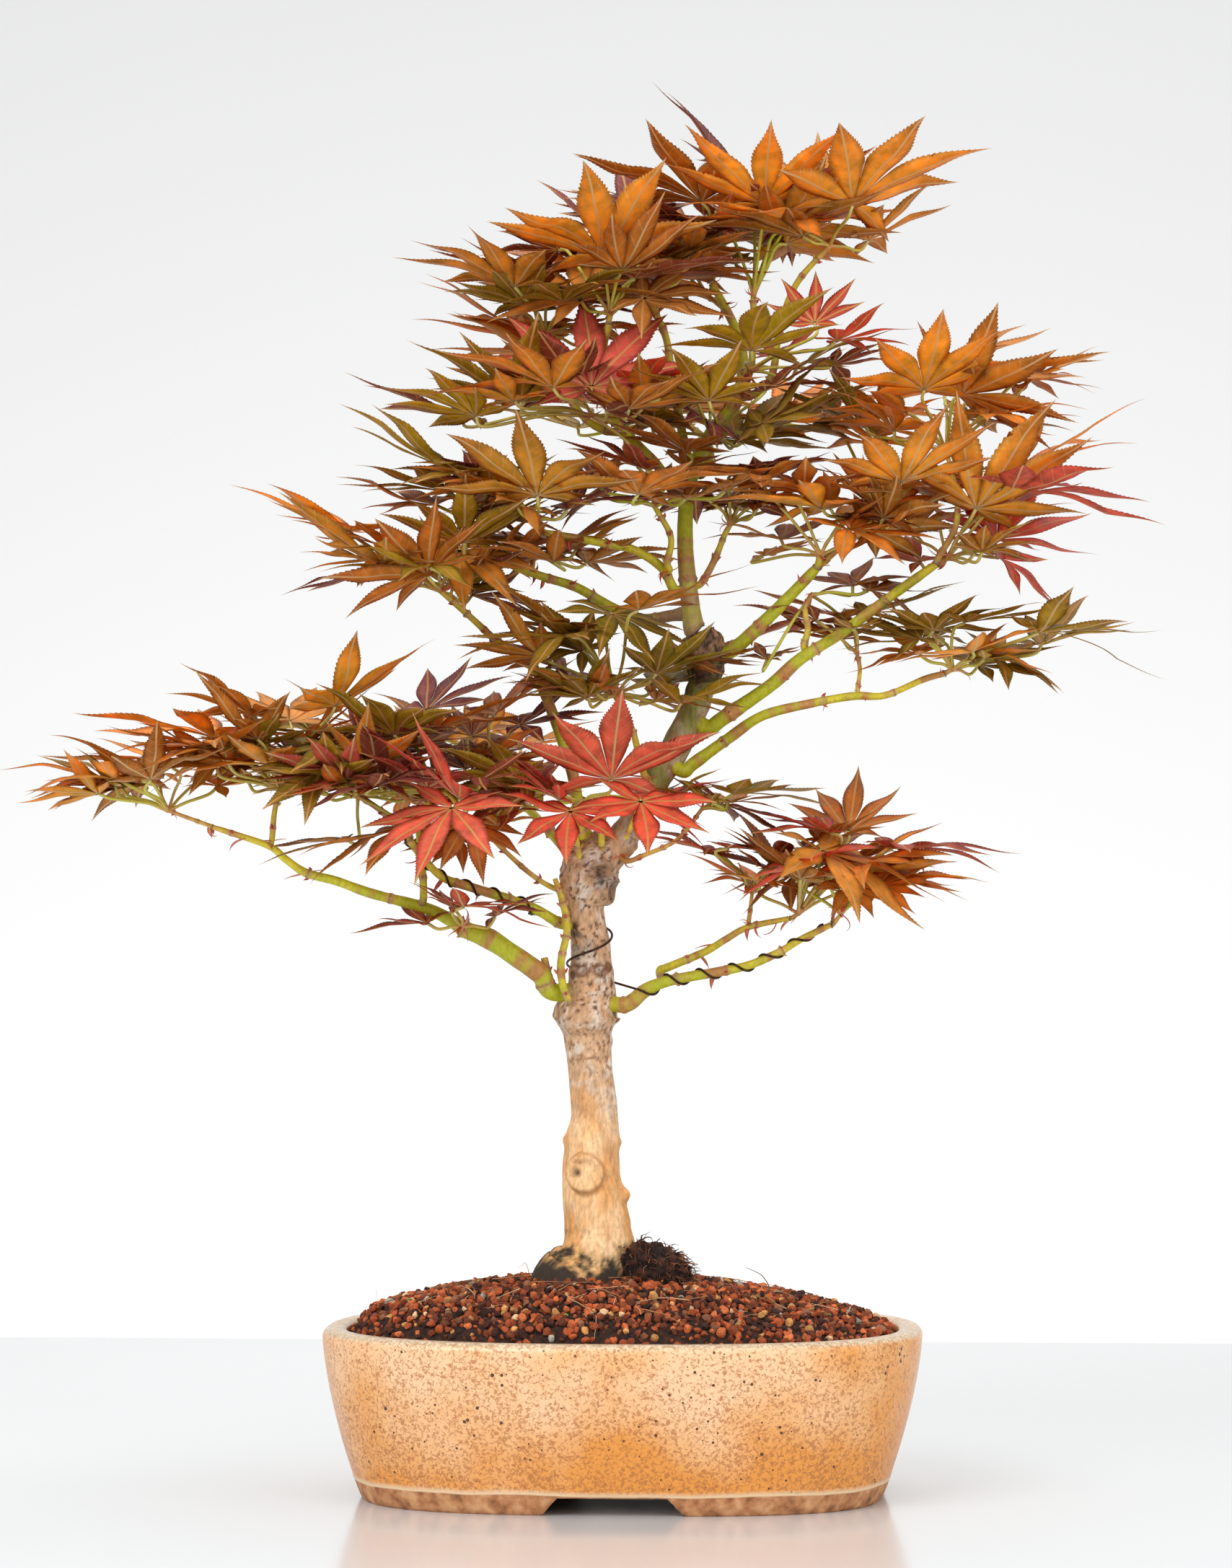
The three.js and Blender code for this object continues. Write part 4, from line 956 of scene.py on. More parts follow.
# Marks of the old wood: height above the lip, degrees round from the front to the right, then
# the size of a mark and how far a nub stands out.
KNOT = (63.5, -12.0)
KNOT_EYE = (63.5, -27.0)
KNOT_PITS = [(67.5, -20.0, 0.8), (58.0, 8.0, 0.7)]
SCARS = [(147.5, -22.0, 2.3), (147.8, 22.0, 2.6), (149.5, 48.0, 1.6), (146.0, -48.0, 1.6)]
NUBS = [
    (54.0, 82.0, 3.0, 2.6), (77.0, -86.0, 2.4, 1.1), (76.0, 84.0, 2.2, 1.0),
    (118.0, 88.0, 2.0, 0.7),
]
OLD_CUTS = [(181.0, 66.0, 6.5), (189.0, 18.0, 5.0), (196.0, 92.0, 4.5)]


class Bark:
    """Distances on the trunk's skin from a height and an angle, for every point of its skin."""

    def __init__(self, heights, angles, radii, points):
        self.height, self.angle, self.radius, self.points = heights, angles, radii, points

    def gap(self, height, degrees):
        turn = (self.angle - math.radians(degrees) + math.pi) % (2 * math.pi) - math.pi
        return np.hypot(self.height - height, turn * self.radius)

    def noise(self, size, stretch=1.0, offset=0.0):
        scaled = self.points / size * np.array([1, 1, 1 / stretch]) + offset
        basis = "PERLIN_ORIGINAL"
        return np.array([
            noise.fractal(Vector(p), 0.9, 2.1, 3, noise_basis=basis) for p in scaled
        ])


def bump_at(gap, size):
    return np.exp(-((gap / size) ** 2))


def trunk_relief(bark):
    """How far the bark stands out from the plain limb, in millimetres."""
    h = bark.height
    relief = 0.55 * bark.noise(13, 2.5) + 0.24 * bark.noise(2.6, 4.5, 7.0)
    # Callus disc over an old branch: a raised rolled edge round a flat face with pits.
    gap = bark.gap(*KNOT)
    disc = np.clip(1.25 - gap / 8.2, 0, 1)
    rim, face = bump_at(gap - 6.9, 1.7), np.clip(disc * 3, 0, 1)
    relief += 1.5 * rim + 0.9 * face - 0.8 * bump_at(gap - 9.4, 1.1)
    relief -= 1.4 * bump_at(bark.gap(*KNOT_EYE), 1.9)
    for height, degrees, size in KNOT_PITS:
        relief -= 0.7 * bump_at(bark.gap(height, degrees), size)
    for height, degrees, size, rise in NUBS:
        relief += rise * bump_at(bark.gap(height, degrees), size)
    # Ring of bud scars, and the collar under the lowest boughs.
    for height, degrees, size in SCARS:
        gap = bark.gap(height, degrees)
        relief += 0.8 * bump_at(gap - size, 0.9) - 0.6 * bump_at(gap, size * 0.5)
    broken = bark.noise(4.5, 1.0, 3.0)
    relief += (bump_at(h - 130, 6.0) * 1.1 + bump_at(h - 118, 3.0) * 0.4) * (0.35 + broken)
    relief += bump_at(h - 147.5, 2.2) * 0.5
    for height, degrees, size in OLD_CUTS:
        gap = bark.gap(height, degrees)
        relief += 1.3 * bump_at(gap - size * 0.8, 1.4) - 1.2 * bump_at(gap, size * 0.5)
    relief += np.clip((h - 172) / 14, 0, 1) * np.clip((206 - h) / 6, 0, 1) * 1.0 * broken
    gnarl = np.clip((h - 258) / 14, 0, 1)
    relief += gnarl * (1.5 * bark.noise(6.0, 1.0, 11.0) + 0.5 * broken)
    # Root flare.
    relief += np.clip((26 - h) / 14, 0, 1) * (0.9 + 1.5 * bark.noise(9, 2.0, 17.0))
    return relief


def trunk_tint(bark):
    """Bark colours: tan and smooth below, ash grey and flecked above, mossy at the soil."""
    h = bark.height
    cloud = bark.noise(17, 1.6, 2.0)
    streak = bark.noise(2.4, 7.0, 5.0)
    fleck = bark.noise(1.7, 1.2, 9.0)
    patch = bark.noise(6.5, 1.1, 13.0)
    tint = np.tile(rgb("#ECAE6C"), (len(h), 1))
    tint = toned(tint, "#FACF9C", (cloud + 0.1) * 1.4)
    tint = toned(tint, "#CC8E54", np.clip(streak, 0, 1) * 0.9)
    grey = np.clip((h - 86) / 22 + cloud * 0.6, 0, 1)
    tint = toned(tint, "#DAB28C", grey * 0.85)
    tint = toned(tint, "#F2E4D2", grey * np.clip(patch * 2.0, 0, 1) * 0.8)
    tint = toned(tint, "#A07450", grey * np.clip(fleck * 2.4 - 0.2, 0, 1) * 0.8)
    flecked = np.clip((h - 104) / 20, 0, 1) * np.clip(fleck * 5 - 1.7 + patch, 0, 1)
    tint = toned(tint, "#5A3420", flecked * 0.8)
    left = np.clip(-np.sin(bark.angle) + 0.35, 0, 1)
    stain = bump_at(h - 165, 9) * left * np.clip(patch * 3 + 0.35, 0, 1)
    tint = toned(tint, "#4E2E1C", stain * 0.9)
    # Knot.
    gap = bark.gap(*KNOT)
    tint = toned(tint, "#F8CE98", np.clip(1.3 - gap / 6.2, 0, 1) * 0.8)
    tint = toned(tint, "#B47A44", bump_at(gap - 8.0, 0.9) * 0.6)
    tint = toned(tint, "#3E2818", bump_at(bark.gap(*KNOT_EYE), 1.7) * 0.97)
    for height, degrees, size in KNOT_PITS:
        tint = toned(tint, "#7E5430", bump_at(bark.gap(height, degrees), size * 0.9) * 0.6)
    for height, degrees, size in SCARS:
        gap = bark.gap(height, degrees)
        tint = toned(tint, "#6A3A1E", bump_at(gap - size * 0.9, 0.7) * 0.85)
        tint = toned(tint, "#3E2012", bump_at(gap, size * 0.4) * 0.8)
    tint = toned(tint, "#8A5A38", bump_at(h - 147.5, 3.2) * np.clip(fleck * 3 + 0.4, 0, 1) * 0.7)
    for height, degrees, size in OLD_CUTS:
        hollow = bump_at(bark.gap(height, degrees), size)
        tint = toned(tint, "#3E2C24", hollow * (0.75 + 0.5 * patch))
    collar = bump_at(h - 128, 7) * np.clip(-np.cos(2 * bark.angle) + 0.2, 0, 1)
    tint = toned(tint, "#7A4A2C", collar * np.clip(streak * 3 + 0.35, 0, 1))
    # Older wood of the leader: brown, with green live bark showing through.
    old = np.clip((h - 196) / 12, 0, 1)
    tint = toned(tint, "#9A7654", old * 0.75)
    tint = toned(tint, "#C8B49C", old * np.clip(patch * 2.2, 0, 1) * 0.7)
    tint = toned(tint, "#7E8A34", old * np.clip(cloud * 3 + 0.25, 0, 1) * 0.75)
    gnarl = np.clip((h - 262) / 8, 0, 1)
    tint = toned(tint, "#6A4A38", gnarl * np.clip(0.55 + patch * 2, 0, 1) * 0.9)
    tint = toned(tint, "#2E1E18", gnarl * np.clip(fleck * 4 + 0.1, 0, 1) * 0.8)
    # Damp, mossy foot.
    sunk = h - 7 * np.clip(-np.sin(bark.angle), 0, 1) - 3 * np.clip(np.sin(bark.angle), 0, 1)
    damp = np.clip((33 - sunk + 9 * patch + 5 * fleck) / 8, 0, 1)
    tint = toned(tint, "#9A7E4C", damp * 0.7)
    tint = toned(tint, "#2A2018", np.clip((27.5 - sunk + 9 * patch + 5 * fleck) / 5, 0, 1) * 0.97)
    return tint


TRUNK_SIDES = 96
MAT_SIDES = 56


def plain_skin(path, widths, sides):
    """Points of a round limb, their outward directions, and the angles of one ring."""
    out, angles = ring_directions(path, sides)
    points = path[:, None] + out * widths[:, None, None]
    return points.reshape(-1, 3), out.reshape(-1, 3), angles


def build_trunk():
    path, widths = smooth_path(*limb_of("trunk"), 0.8)
    points, out, angles = plain_skin(path, widths, TRUNK_SIDES)
    heights, radii = points[:, 2] - POT_TOP, np.repeat(widths, TRUNK_SIDES)
    bark = Bark(heights, np.tile(angles, len(path)), radii, points)
    skin = points + out * trunk_relief(bark)[:, None]
    build = Builder()
    build.ringed(skin, trunk_tint(bark), TRUNK_SIDES, path[0], path[-1])
    # Smooth tan maple bark, finely fissured upwards, with corky specks.
    flecks = (1.0, 0.66, 0.78, "#6E4630")
    wood = painted("maple_bark_smooth_fissured", 0.82, 1.5, 0.3, (1, 1, 0.35), flecks)
    build.piece("trunk_bark", wood, "bark", ["trunk"])


# The slope of matted roots between the trunk and the tuft: places from the tuft's top, and radii.
ROOT_SLOPE = [(-19, 1, -1.5), (-14, 0, -3.5), (-7, -1, -6), (1, -2, -9), (9, -2, -15)]
ROOT_SLOPE_RADII = [5.5, 7.5, 8.5, 8.5, 6.0]


def grow_mat(build, path, widths, chance, hairs):
    """A lumpy dark body along a path, bristling with fine roots."""
    points, out, _ = plain_skin(path, widths, MAT_SIDES)
    lump = np.array([noise.fractal(Vector(p) * 0.28, 0.9, 2.1, 4) for p in points])
    mat = points + out * (1.0 + 2.0 * lump)[:, None]
    mat[:, 2] += 0.8 * lump
    # Dark brown roots, painted darker in the mat's hollows and paler on its lumps: painted shade.
    tint = toned(np.tile(rgb("#1E120C"), (len(mat), 1)), "#4E2A1A", lump * 1.5 + 0.3)
    build.ringed(mat, tint, MAT_SIDES, path[0], path[-1])
    tones = [rgb(code) for code in ("#2A1810", "#3A2016", "#5A3220", "#7A4630", "#A86C4A")]
    visible = np.flatnonzero(mat[:, 2] > POT_TOP + 12)
    for _ in range(hairs):
        root = mat[chance.choice(visible)]
        middle = path[np.linalg.norm(path - root, axis=1).argmin()]
        heading = math.atan2(root[1] - middle[1], root[0] - middle[0]) + chance.gauss(0, 1.0)
        lift, curl = chance.uniform(-0.2, 1.1), chance.uniform(0.6, 1.8)
        hair = arc(chance, root, heading, chance.uniform(3, 8), lift, curl, 6)
        hair = hair - (root - middle) * 0.12
        width = chance.uniform(0.16, 0.42)
        build.tube(hair, np.linspace(width, width * 0.3, len(hair)), 4, chance.choice(tones))


def build_root_tuft():
    """A dark mat of fine roots that stands out of the soil at the right of the trunk."""
    chance = random.Random(8)
    build = Builder()
    path, widths = smooth_path(*limb_of("root_tuft"), 0.7)
    widths = widths * np.sqrt(np.clip(np.linspace(3.6, 0.05, len(path)), 0, 1))
    grow_mat(build, path, widths, chance, 420)
    slope, girth = smooth_path(path[-1] + np.array(ROOT_SLOPE), np.array(ROOT_SLOPE_RADII), 0.7)
    girth = girth * np.sqrt(np.clip(np.linspace(0.1, 4, len(slope)), 0, 1))
    girth = girth * np.sqrt(np.clip(np.linspace(4, 0.1, len(slope)), 0, 1))
    grow_mat(build, slope, girth, chance, 700)
    # Live and dead fine roots, matted: dull, dark and hairy.
    fibre = painted("matted_fine_roots", 0.95, 1.5, 0.4)
    build.piece("root_mat", fibre, "root", ["root_tuft"])


class BONSAI_OT_trunk(bpy.types.Operator):
    """Carves the trunk's bark, knots, scars and root flare, and the mat of roots beside it"""

    bl_idname = "bonsai.trunk"
    bl_label = "Trunk"

    def execute(self, context):
        build_trunk()
        build_root_tuft()
        return {"FINISHED"}


# ------------------------------------------------------------------ green boughs

# Young maple wood by thickness: thick wood is leaf green, thin wood turns tan and pink.
THICK_TONE, MID_TONE, THIN_TONE = "#BEC022", "#DCC832", "#E0AC50"
COLLAR_TONE, OLD_TONE = "#C99A6C", "#A8865E"
LONG_SHOOTS = (
    "leader", "bough_right_high", "bough_right_low", "bough_centre_right", "bough_low_left",
)
LONG_SPACING, SHORT_SPACING = 46, 30
# How far the old wood's colour runs up from a foot, and how far a foot may run on to its wood.
BOUGH_FEET = {"leader": 26, "bough_low_left": 12, "bough_mossy_left": 26}
BOUGH_REACH, TWIG_REACH = 16, 7


def node_places(length, spacing, chance):
    """Distances along a shoot at which it has a leaf node, closer together near its end."""
    places, at = [], spacing * chance.uniform(0.35, 0.7)
    while at < length - 2:
        places.append(at)
        at += spacing * chance.uniform(0.8, 1.2) * (1 - 0.35 * at / length)
    return places


def young_wood(build, line, radii, name, spacing, step, sides, foot):
    """A green limb with swollen tan rings where leaves once stood, and small buds on the rings."""
    chance = random.Random(name)
    path, widths = smooth_path(line, radii, step)
    run = distances_along(path)
    tangents, fronts, rights = frames_along(path)
    drift = np.array([noise.fractal(Vector(p) * 0.09, 0.9, 2.1, 3) for p in path])
    tint = np.tile(rgb(MID_TONE), (len(path), 1))
    tint = toned(tint, THICK_TONE, (widths - 1.3) / 1.2 + drift * 1.1)
    tint = toned(tint, THIN_TONE, (1.7 - widths) / 0.8 + drift * 0.9)
    places = node_places(run[-1], spacing, chance)
    shape = widths * (0.9 + 0.07 * drift)
    for place in places:
        ring = bump_at(run - place, 0.75)
        shape = shape + ring * (0.16 + 0.09 * widths)
        tint = toned(tint, COLLAR_TONE, bump_at(run - place, 1.6) * 0.7)
        tint = toned(tint, "#8A5A34", bump_at(run - place - 0.5, 0.35) * 0.75)
    tint = toned(tint, "#C08A48", (drift - 0.12) * 3.2)
    tint = toned(tint, OLD_TONE, (1 - run / foot) * 1.3 + drift)
    shape = shape + bump_at(run, foot * 0.2) * 0.5 * (1 + drift)
    build.tube(path, shape, sides, tint)
    for i, place in enumerate(places):
        k = int(np.abs(run - place).argmin())
        turn = 1.57 * (i % 2) + chance.uniform(-0.4, 0.4)
        across = fronts[k] * math.cos(turn) + rights[k] * math.sin(turn)
        for way in (1, -1):
            at = path[k] + way * across * widths[k]
            grow_bud(build, at, way * across * 0.8 + tangents[k], chance)
    return path


BUD_TONES = ("#C8563A", "#D98A5A", "#B8402E", "#C9A04A", "#E09A84")
SCALE_TONES = ("#F2937A", "#E8704C", "#F2B08C", "#D9503A", "#E89A5C")
SCALE_END = "#B8402C"
SCALE_PARTS = 9


def grow_bud(build, at, towards, chance):
    """A small pointed bud."""
    towards = towards / np.linalg.norm(towards)
    length = chance.uniform(1.2, 2.6)
    steps = np.array([0.0, 0.25, 0.55, 0.85, 1.0])
    radii = np.array([0.5, 0.62, 0.5, 0.22, 0.05]) * chance.uniform(0.8, 1.2)
    path = at - towards * 0.4 + steps[:, None] * towards * length
    build.tube(path, radii, 6, rgb(chance.choice(BUD_TONES)))


def grow_scale(build, at, towards, chance, length):
    """A shed bud scale that still hangs on: a thin curled strip, broad in its middle."""
    towards = np.array(towards) / np.linalg.norm(towards)
    side = np.cross(towards, [0.2, 0.1, 1.0])
    side /= np.linalg.norm(side)
    up = np.cross(side, towards)
    width = length * chance.uniform(0.1, 0.17)
    curl = chance.uniform(-2.4, 2.4)
    sway = chance.uniform(-0.9, 0.9)
    place = np.array(at, float)
    rows = []
    for t in np.arange(SCALE_PARTS + 1) / SCALE_PARTS:
        angle = curl * t * t
        heading = towards * math.cos(angle) + up * math.sin(angle) + side * sway * t
        heading /= np.linalg.norm(heading)
        half = width * (0.35 + 0.65 * math.sin(math.pi * min(1, 0.15 + t * 0.85))) * (1 - t**4)
        lift = np.cross(heading, side)
        rows += [place + side * half, place - lift * 0.12]
        rows += [place - side * half, place + lift * (0.12 + half * 0.3)]
        place = place + heading * length / SCALE_PARTS
    tint = np.tile(rgb(chance.choice(SCALE_TONES)), (len(rows), 1))
    share = np.repeat(np.linspace(0, 1, SCALE_PARTS + 1), 4)
    build.ringed(np.array(rows), toned(tint, SCALE_END, share * 0.8), 4, rows[1], place)


_wood = {}


def wood_paths():
    """The centre lines of the trunk and of every bough, read once."""
    if not _wood:
        for name in WOOD_SIDES:
            _wood[name] = smooth_path(*limb_of(name), 1.0)
    return _wood


def rooted(line, radii, name, reach):
    """A limb whose foot runs on into the wood that it grows from."""
    best = (reach, None)
    for other, (path, widths) in wood_paths().items():
        if other == name:
            continue
        gaps = np.linalg.norm(path - line[0], axis=1)
        k = int(gaps.argmin())
        best = min(best, (gaps[k] - widths[k], path[k]), key=lambda near: near[0])
    if best[1] is None:
        return line, radii
    foot = line[0] + (best[1] - line[0]) * 0.8
    return np.vstack([foot, line]), np.append(radii[0] * 1.05, radii)


# Small growths on the old wood, in the tree's own front view: x right, y back, z above the lip,
# and radius. TRUNK_FOOT is x and y of the trunk's foot in the same view.
SMALL_SHOOTS = {
    "climbing": [
        (-22, -9, 134, 1.6), (-25, -9.5, 141, 1.8), (-26, -9, 151, 1.8),
        (-23.5, -9, 165, 1.7), (-25.5, -9, 177, 1.6), (-28.5, -8, 186, 1.2),
    ],
    "stub": [(-27, -2, 137, 2.2), (-31, -4, 144, 2.0), (-33, -5, 153, 1.7)],
    "cut_left": [(-17, -6, 190, 1.7), (-19, -11, 199, 1.4), (-20, -13, 207, 1.2)],
    "cut_middle": [(-9, -8, 195, 1.8), (-9, -12, 205, 1.5), (-8, -13, 213, 1.3)],
    "cut_right": [(0, -6, 201, 1.6), (3, -10, 207, 1.3), (5, -12, 212, 1.1)],
}
TRUNK_FOOT = (-17.0, 0.0)


def tree_points(rows):
    """Places of the tree's own front view as places in the frame, in millimetres."""
    c, s = math.cos(TREE_TURN), math.sin(TREE_TURN)
    foot = limb_of("trunk")[0][1]
    x, y, z = (rows - np.append(TRUNK_FOOT, 0)).T
    return np.stack([foot[0] + c * x - s * y, foot[1] + s * x + c * y, POT_TOP + z], axis=1)


class BONSAI_OT_boughs(bpy.types.Operator):
    """Grows the leader and the green boughs, with their leaf nodes and buds"""

    bl_idname = "bonsai.boughs"
    bl_label = "Boughs"

    def execute(self, context):
        # Young maple bark: smooth, waxy and yellow-green, lightly corky at the rings.
        flecks = (1.3, 0.66, 0.74, "#8A8A2A")
        wood = painted("maple_shoot_green_bark", 0.5, 1.6, 0.22, (1, 1, 0.6), flecks)
        for name in BOUGH_NODES:
            line, radii = rooted(*limb_of(name), name, BOUGH_REACH)
            build = Builder()
            spacing = LONG_SPACING if name in LONG_SHOOTS else SHORT_SPACING
            foot = BOUGH_FEET.get(name, 5)
            path = young_wood(build, line, radii, name, spacing, 0.7, 20, foot)
            chance = random.Random("scales " + name)
            for _ in range(chance.choice((2, 3, 4, 5))):
                at = path[int(len(path) * chance.uniform(0.35, 0.98))]
                away = (chance.gauss(0, 0.7), chance.gauss(0, 0.7), chance.uniform(-1.0, 0.3))
                grow_scale(build, at, away, chance, chance.uniform(5, 10))
            build.piece(name.replace("_", "-") + "-wood", wood, "green_wood", [name])
        build = Builder()
        for name, rows in SMALL_SHOOTS.items():
            rows = np.array(rows)
            young_wood(build, tree_points(rows[:, :3]), rows[:, 3], name, 9, 0.6, 14, 3)
        build.piece("small-cut-shoots", wood, "green_wood", ["trunk"])
        return {"FINISHED"}


# ------------------------------------------------------------------ training wire

WIRE_RADIUS = 0.5
# On a bough: shares of its length between which the wire lies, turns, first angle, and how far
# it stands off the wood's plain radius.
WIRE_ON_RIGHT = (0.08, 0.97, 6.0, -1.2, -0.25)
WIRE_ON_LEFT = (0.14, 0.93, 5.5, math.pi, -0.25)
WRAP_HEIGHTS = (140.0, 170.0)
WRAP_TURNS, WRAP_STAND = 1.4, 0.9
TURN_PARTS = 26


def wound(path, widths, start, end, turns, phase, stand):
    """Points of a wire wound on a limb, between two shares of the limb's length."""
    run = distances_along(path)
    count = int(turns * TURN_PARTS)
    at = np.linspace(start, end, count + 1) * run[-1]
    middle = np.stack([np.interp(at, run, path[:, i]) for i in range(3)], axis=1)
    width = np.interp(at, run, widths) + WIRE_RADIUS + stand
    tangents = np.gradient(middle, axis=0)
    tangents /= np.linalg.norm(tangents, axis=1)[:, None]
    fronts = np.array([0.0, -1.0, 0.0]) + tangents * tangents[:, 1:2]
    fronts /= np.linalg.norm(fronts, axis=1)[:, None]
    rights = np.cross(tangents, fronts)
    angle = phase + 2 * math.pi * turns * np.linspace(0, 1, count + 1)
    ring = fronts * np.cos(angle)[:, None] + rights * np.sin(angle)[:, None]
    return middle + ring * width[:, None]


class BONSAI_OT_wire(bpy.types.Operator):
    """Winds one training wire from the low right bough round the trunk to the left bough"""

    bl_idname = "bonsai.wire"
    bl_label = "Training wire"

    def execute(self, context):
        wood = wood_paths()
        trunk, widths = wood["trunk"]
        run = distances_along(trunk)
        start, end = np.interp(WRAP_HEIGHTS, trunk[:, 2] - POT_TOP, run) / run[-1]
        right = wound(*wood["bough_low_right"], *WIRE_ON_RIGHT)[::-1]
        middle = wound(trunk, widths, start, end, WRAP_TURNS, math.pi / 2, WRAP_STAND)
        left = wound(*wood["bough_wired_left"], *WIRE_ON_LEFT)
        knots = np.vstack([right[:-4], middle[5:-5], left[4:]])
        path, _ = smooth_path(knots, np.ones(len(knots)), 0.6)
        build = Builder()
        build.tube(path, np.full(len(path), WIRE_RADIUS), 10, (0.05, 0.03, 0.02))
        build.piece("training_wire_wound", annealed_wire(), "wire", ["training_wire"])
        return {"FINISHED"}


# ------------------------------------------------------------------ leaf stalks and twigs

CROWDED_SHOOTS = (
    "leaves_left_twig", "leaves_centre_low", "leaves_centre_twig", "leaves_mid_left_low",
)
SMALLEST_LEAF = 30  # a smaller leaf has no side leaf
BOX_MARGIN = 0.004


def side_blades(name, blades, tip):
    """Smaller leaves beside the solid leaves of a shoot, with their tones.

    A solid leaf has up to two. Those that would reach out of the solids' box are left out.
    """
    chance = random.Random("side " + name)
    made = []
    solid = list(zip(SHOOT_TONES[name], blades))
    again = [pair for pair in solid if chance.random() < 0.85]
    if "low_left" in name or name in CROWDED_SHOOTS:
        again += solid
    for letter, (joint, _, length) in solid + again:
        if length < SMALLEST_LEAF:
            continue
        away = joint - tip
        turn = chance.choice((-1, 1)) * chance.uniform(0.5, 1.7)
        heading = math.atan2(away[1], away[0]) + turn
        reach = max(14.0, np.hypot(away[0], away[1]) * chance.uniform(0.5, 0.95))
        at = tip + np.array([
            math.cos(heading) * reach, math.sin(heading) * reach * 0.9,
            max(2.0, away[2] * chance.uniform(0.35, 0.9)) + chance.uniform(-4, 3),
        ])
        facing = heading + chance.gauss(0, 0.45)
        pitch, bank = math.radians(chance.uniform(-16, 24)), math.radians(chance.gauss(0, 14))
        forward = heading_vector(facing, pitch)
        left = np.array([-math.sin(facing), math.cos(facing), 0.0])
        up = np.cross(forward, left)
        tipped = left * math.cos(bank) + up * math.sin(bank)
        turned_axes = np.stack([forward, tipped, np.cross(forward, tipped)], axis=1)
        tone = letter if chance.random() < 0.6 else chance.choice("obvpb")
        size = length * chance.uniform(0.72, 0.95)
        end = (at + forward * size) * MM
        low, high = (np.array(corner) for corner in CAD_BOX)
        if (end <= high - BOX_MARGIN).all() and (end >= low + BOX_MARGIN).all():
            made.append(((at, turned_axes, size), tone))
    return made


def stalk_path(tip, joint, axes, chance):
    """A leaf stalk: a slim curve from the shoot's tip that turns up into its blade."""
    bend = joint + axes @ STALK_BEND
    seat = joint + axes @ np.array([-0.2, 0, -0.25])
    reach = np.linalg.norm(bend - tip)
    sag = (chance.gauss(0, 0.03), chance.gauss(0, 0.03), chance.uniform(0.02, 0.07))
    middle = tip + (bend - tip) * 0.45 + np.array(sag) * reach
    return np.array([tip, tip + (middle - tip) * 0.4, middle, bend, seat])


class BONSAI_OT_stems(bpy.types.Operator):
    """Grows each shoot's twig, its leaf stalks and the bud scales at its tip"""

    bl_idname = "bonsai.stems"
    bl_label = "Twigs and leaf stalks"

    def execute(self, context):
        # Maple shoots and leaf stalks of this year: smooth, thin-skinned, faintly glossy.
        skin = painted("maple_leaf_stalk_smooth", 0.42, 3.0, 0.15)
        for name in LEAF_NODES:
            chance = random.Random("stems " + name)
            blades, tip, line, radii = shoot_of(name)
            build = Builder()
            line, radii = rooted(line, radii, name, TWIG_REACH)
            young_wood(build, line, radii, name, 11, 0.8, 12, 2)
            blades = blades + [blade for blade, _ in side_blades(name, blades, tip)]
            warm = chance.uniform(0.0, 0.5)
            for joint, axes, _ in blades:
                knots = stalk_path(tip, joint, axes, chance)
                path, _ = smooth_path(knots, np.ones(len(knots)), 1.1)
                t = np.linspace(0, 1, len(path))
                width = 0.62 + 0.45 * np.exp(-t * 14) + 0.1 * t
                tint = np.tile(rgb("#C9CC3A"), (len(path), 1))
                tint = toned(tint, "#D9A870", np.full(len(path), warm))
                tint = toned(tint, "#D88A62", np.exp(-t * 7) * 0.9)
                tint = toned(tint, "#E2D890", (t - 0.8) * 3)
                build.tube(path, width, 8, tint)
            if len(blades) >= 3 or chance.random() < 0.5:
                for _ in range(chance.choice((2, 3, 4))):
                    away = (chance.gauss(0, 1), chance.gauss(0, 1), chance.gauss(0.1, 0.8))
                    grow_scale(build, tip, away, chance, chance.uniform(4, 9.5))
            for _ in range(chance.choice((2, 3, 4, 5))):
                away = (chance.gauss(0, 1), chance.gauss(0, 1), chance.gauss(-0.3, 0.8))
                at = line[0] + (line[1] - line[0]) * chance.uniform(0.5, 1.0)
                grow_scale(build, at, away, chance, chance.uniform(4, 9))
            build.piece(name.replace("leaves_", "stems_"), skin, "leaf", [name])
        return {"FINISHED"}


# ------------------------------------------------------------------ blades

# Tones of a leaf: underside, upper side and lobe tips.
TONES = {
    "o": ("#F0AC36", "#DC9438", "#B04C1E"),
    "v": ("#C0A01E", "#9A8426", "#984E20"),
    "b": ("#D8902E", "#B27030", "#983C20"),
    # p, dark purple-brown, is partly the leaves' own colour and partly painted shade: it is given
    # to leaves that lay in shade or faced away.
    "p": ("#AC6044", "#8C4640", "#86282C"),
    "r": ("#E0705A", "#D4624C", "#C8443A"),
    "d": ("#BC5628", "#A84828", "#AC3428"),
    "g": ("#D8D440", "#C8C43A", "#D08A34"),
}
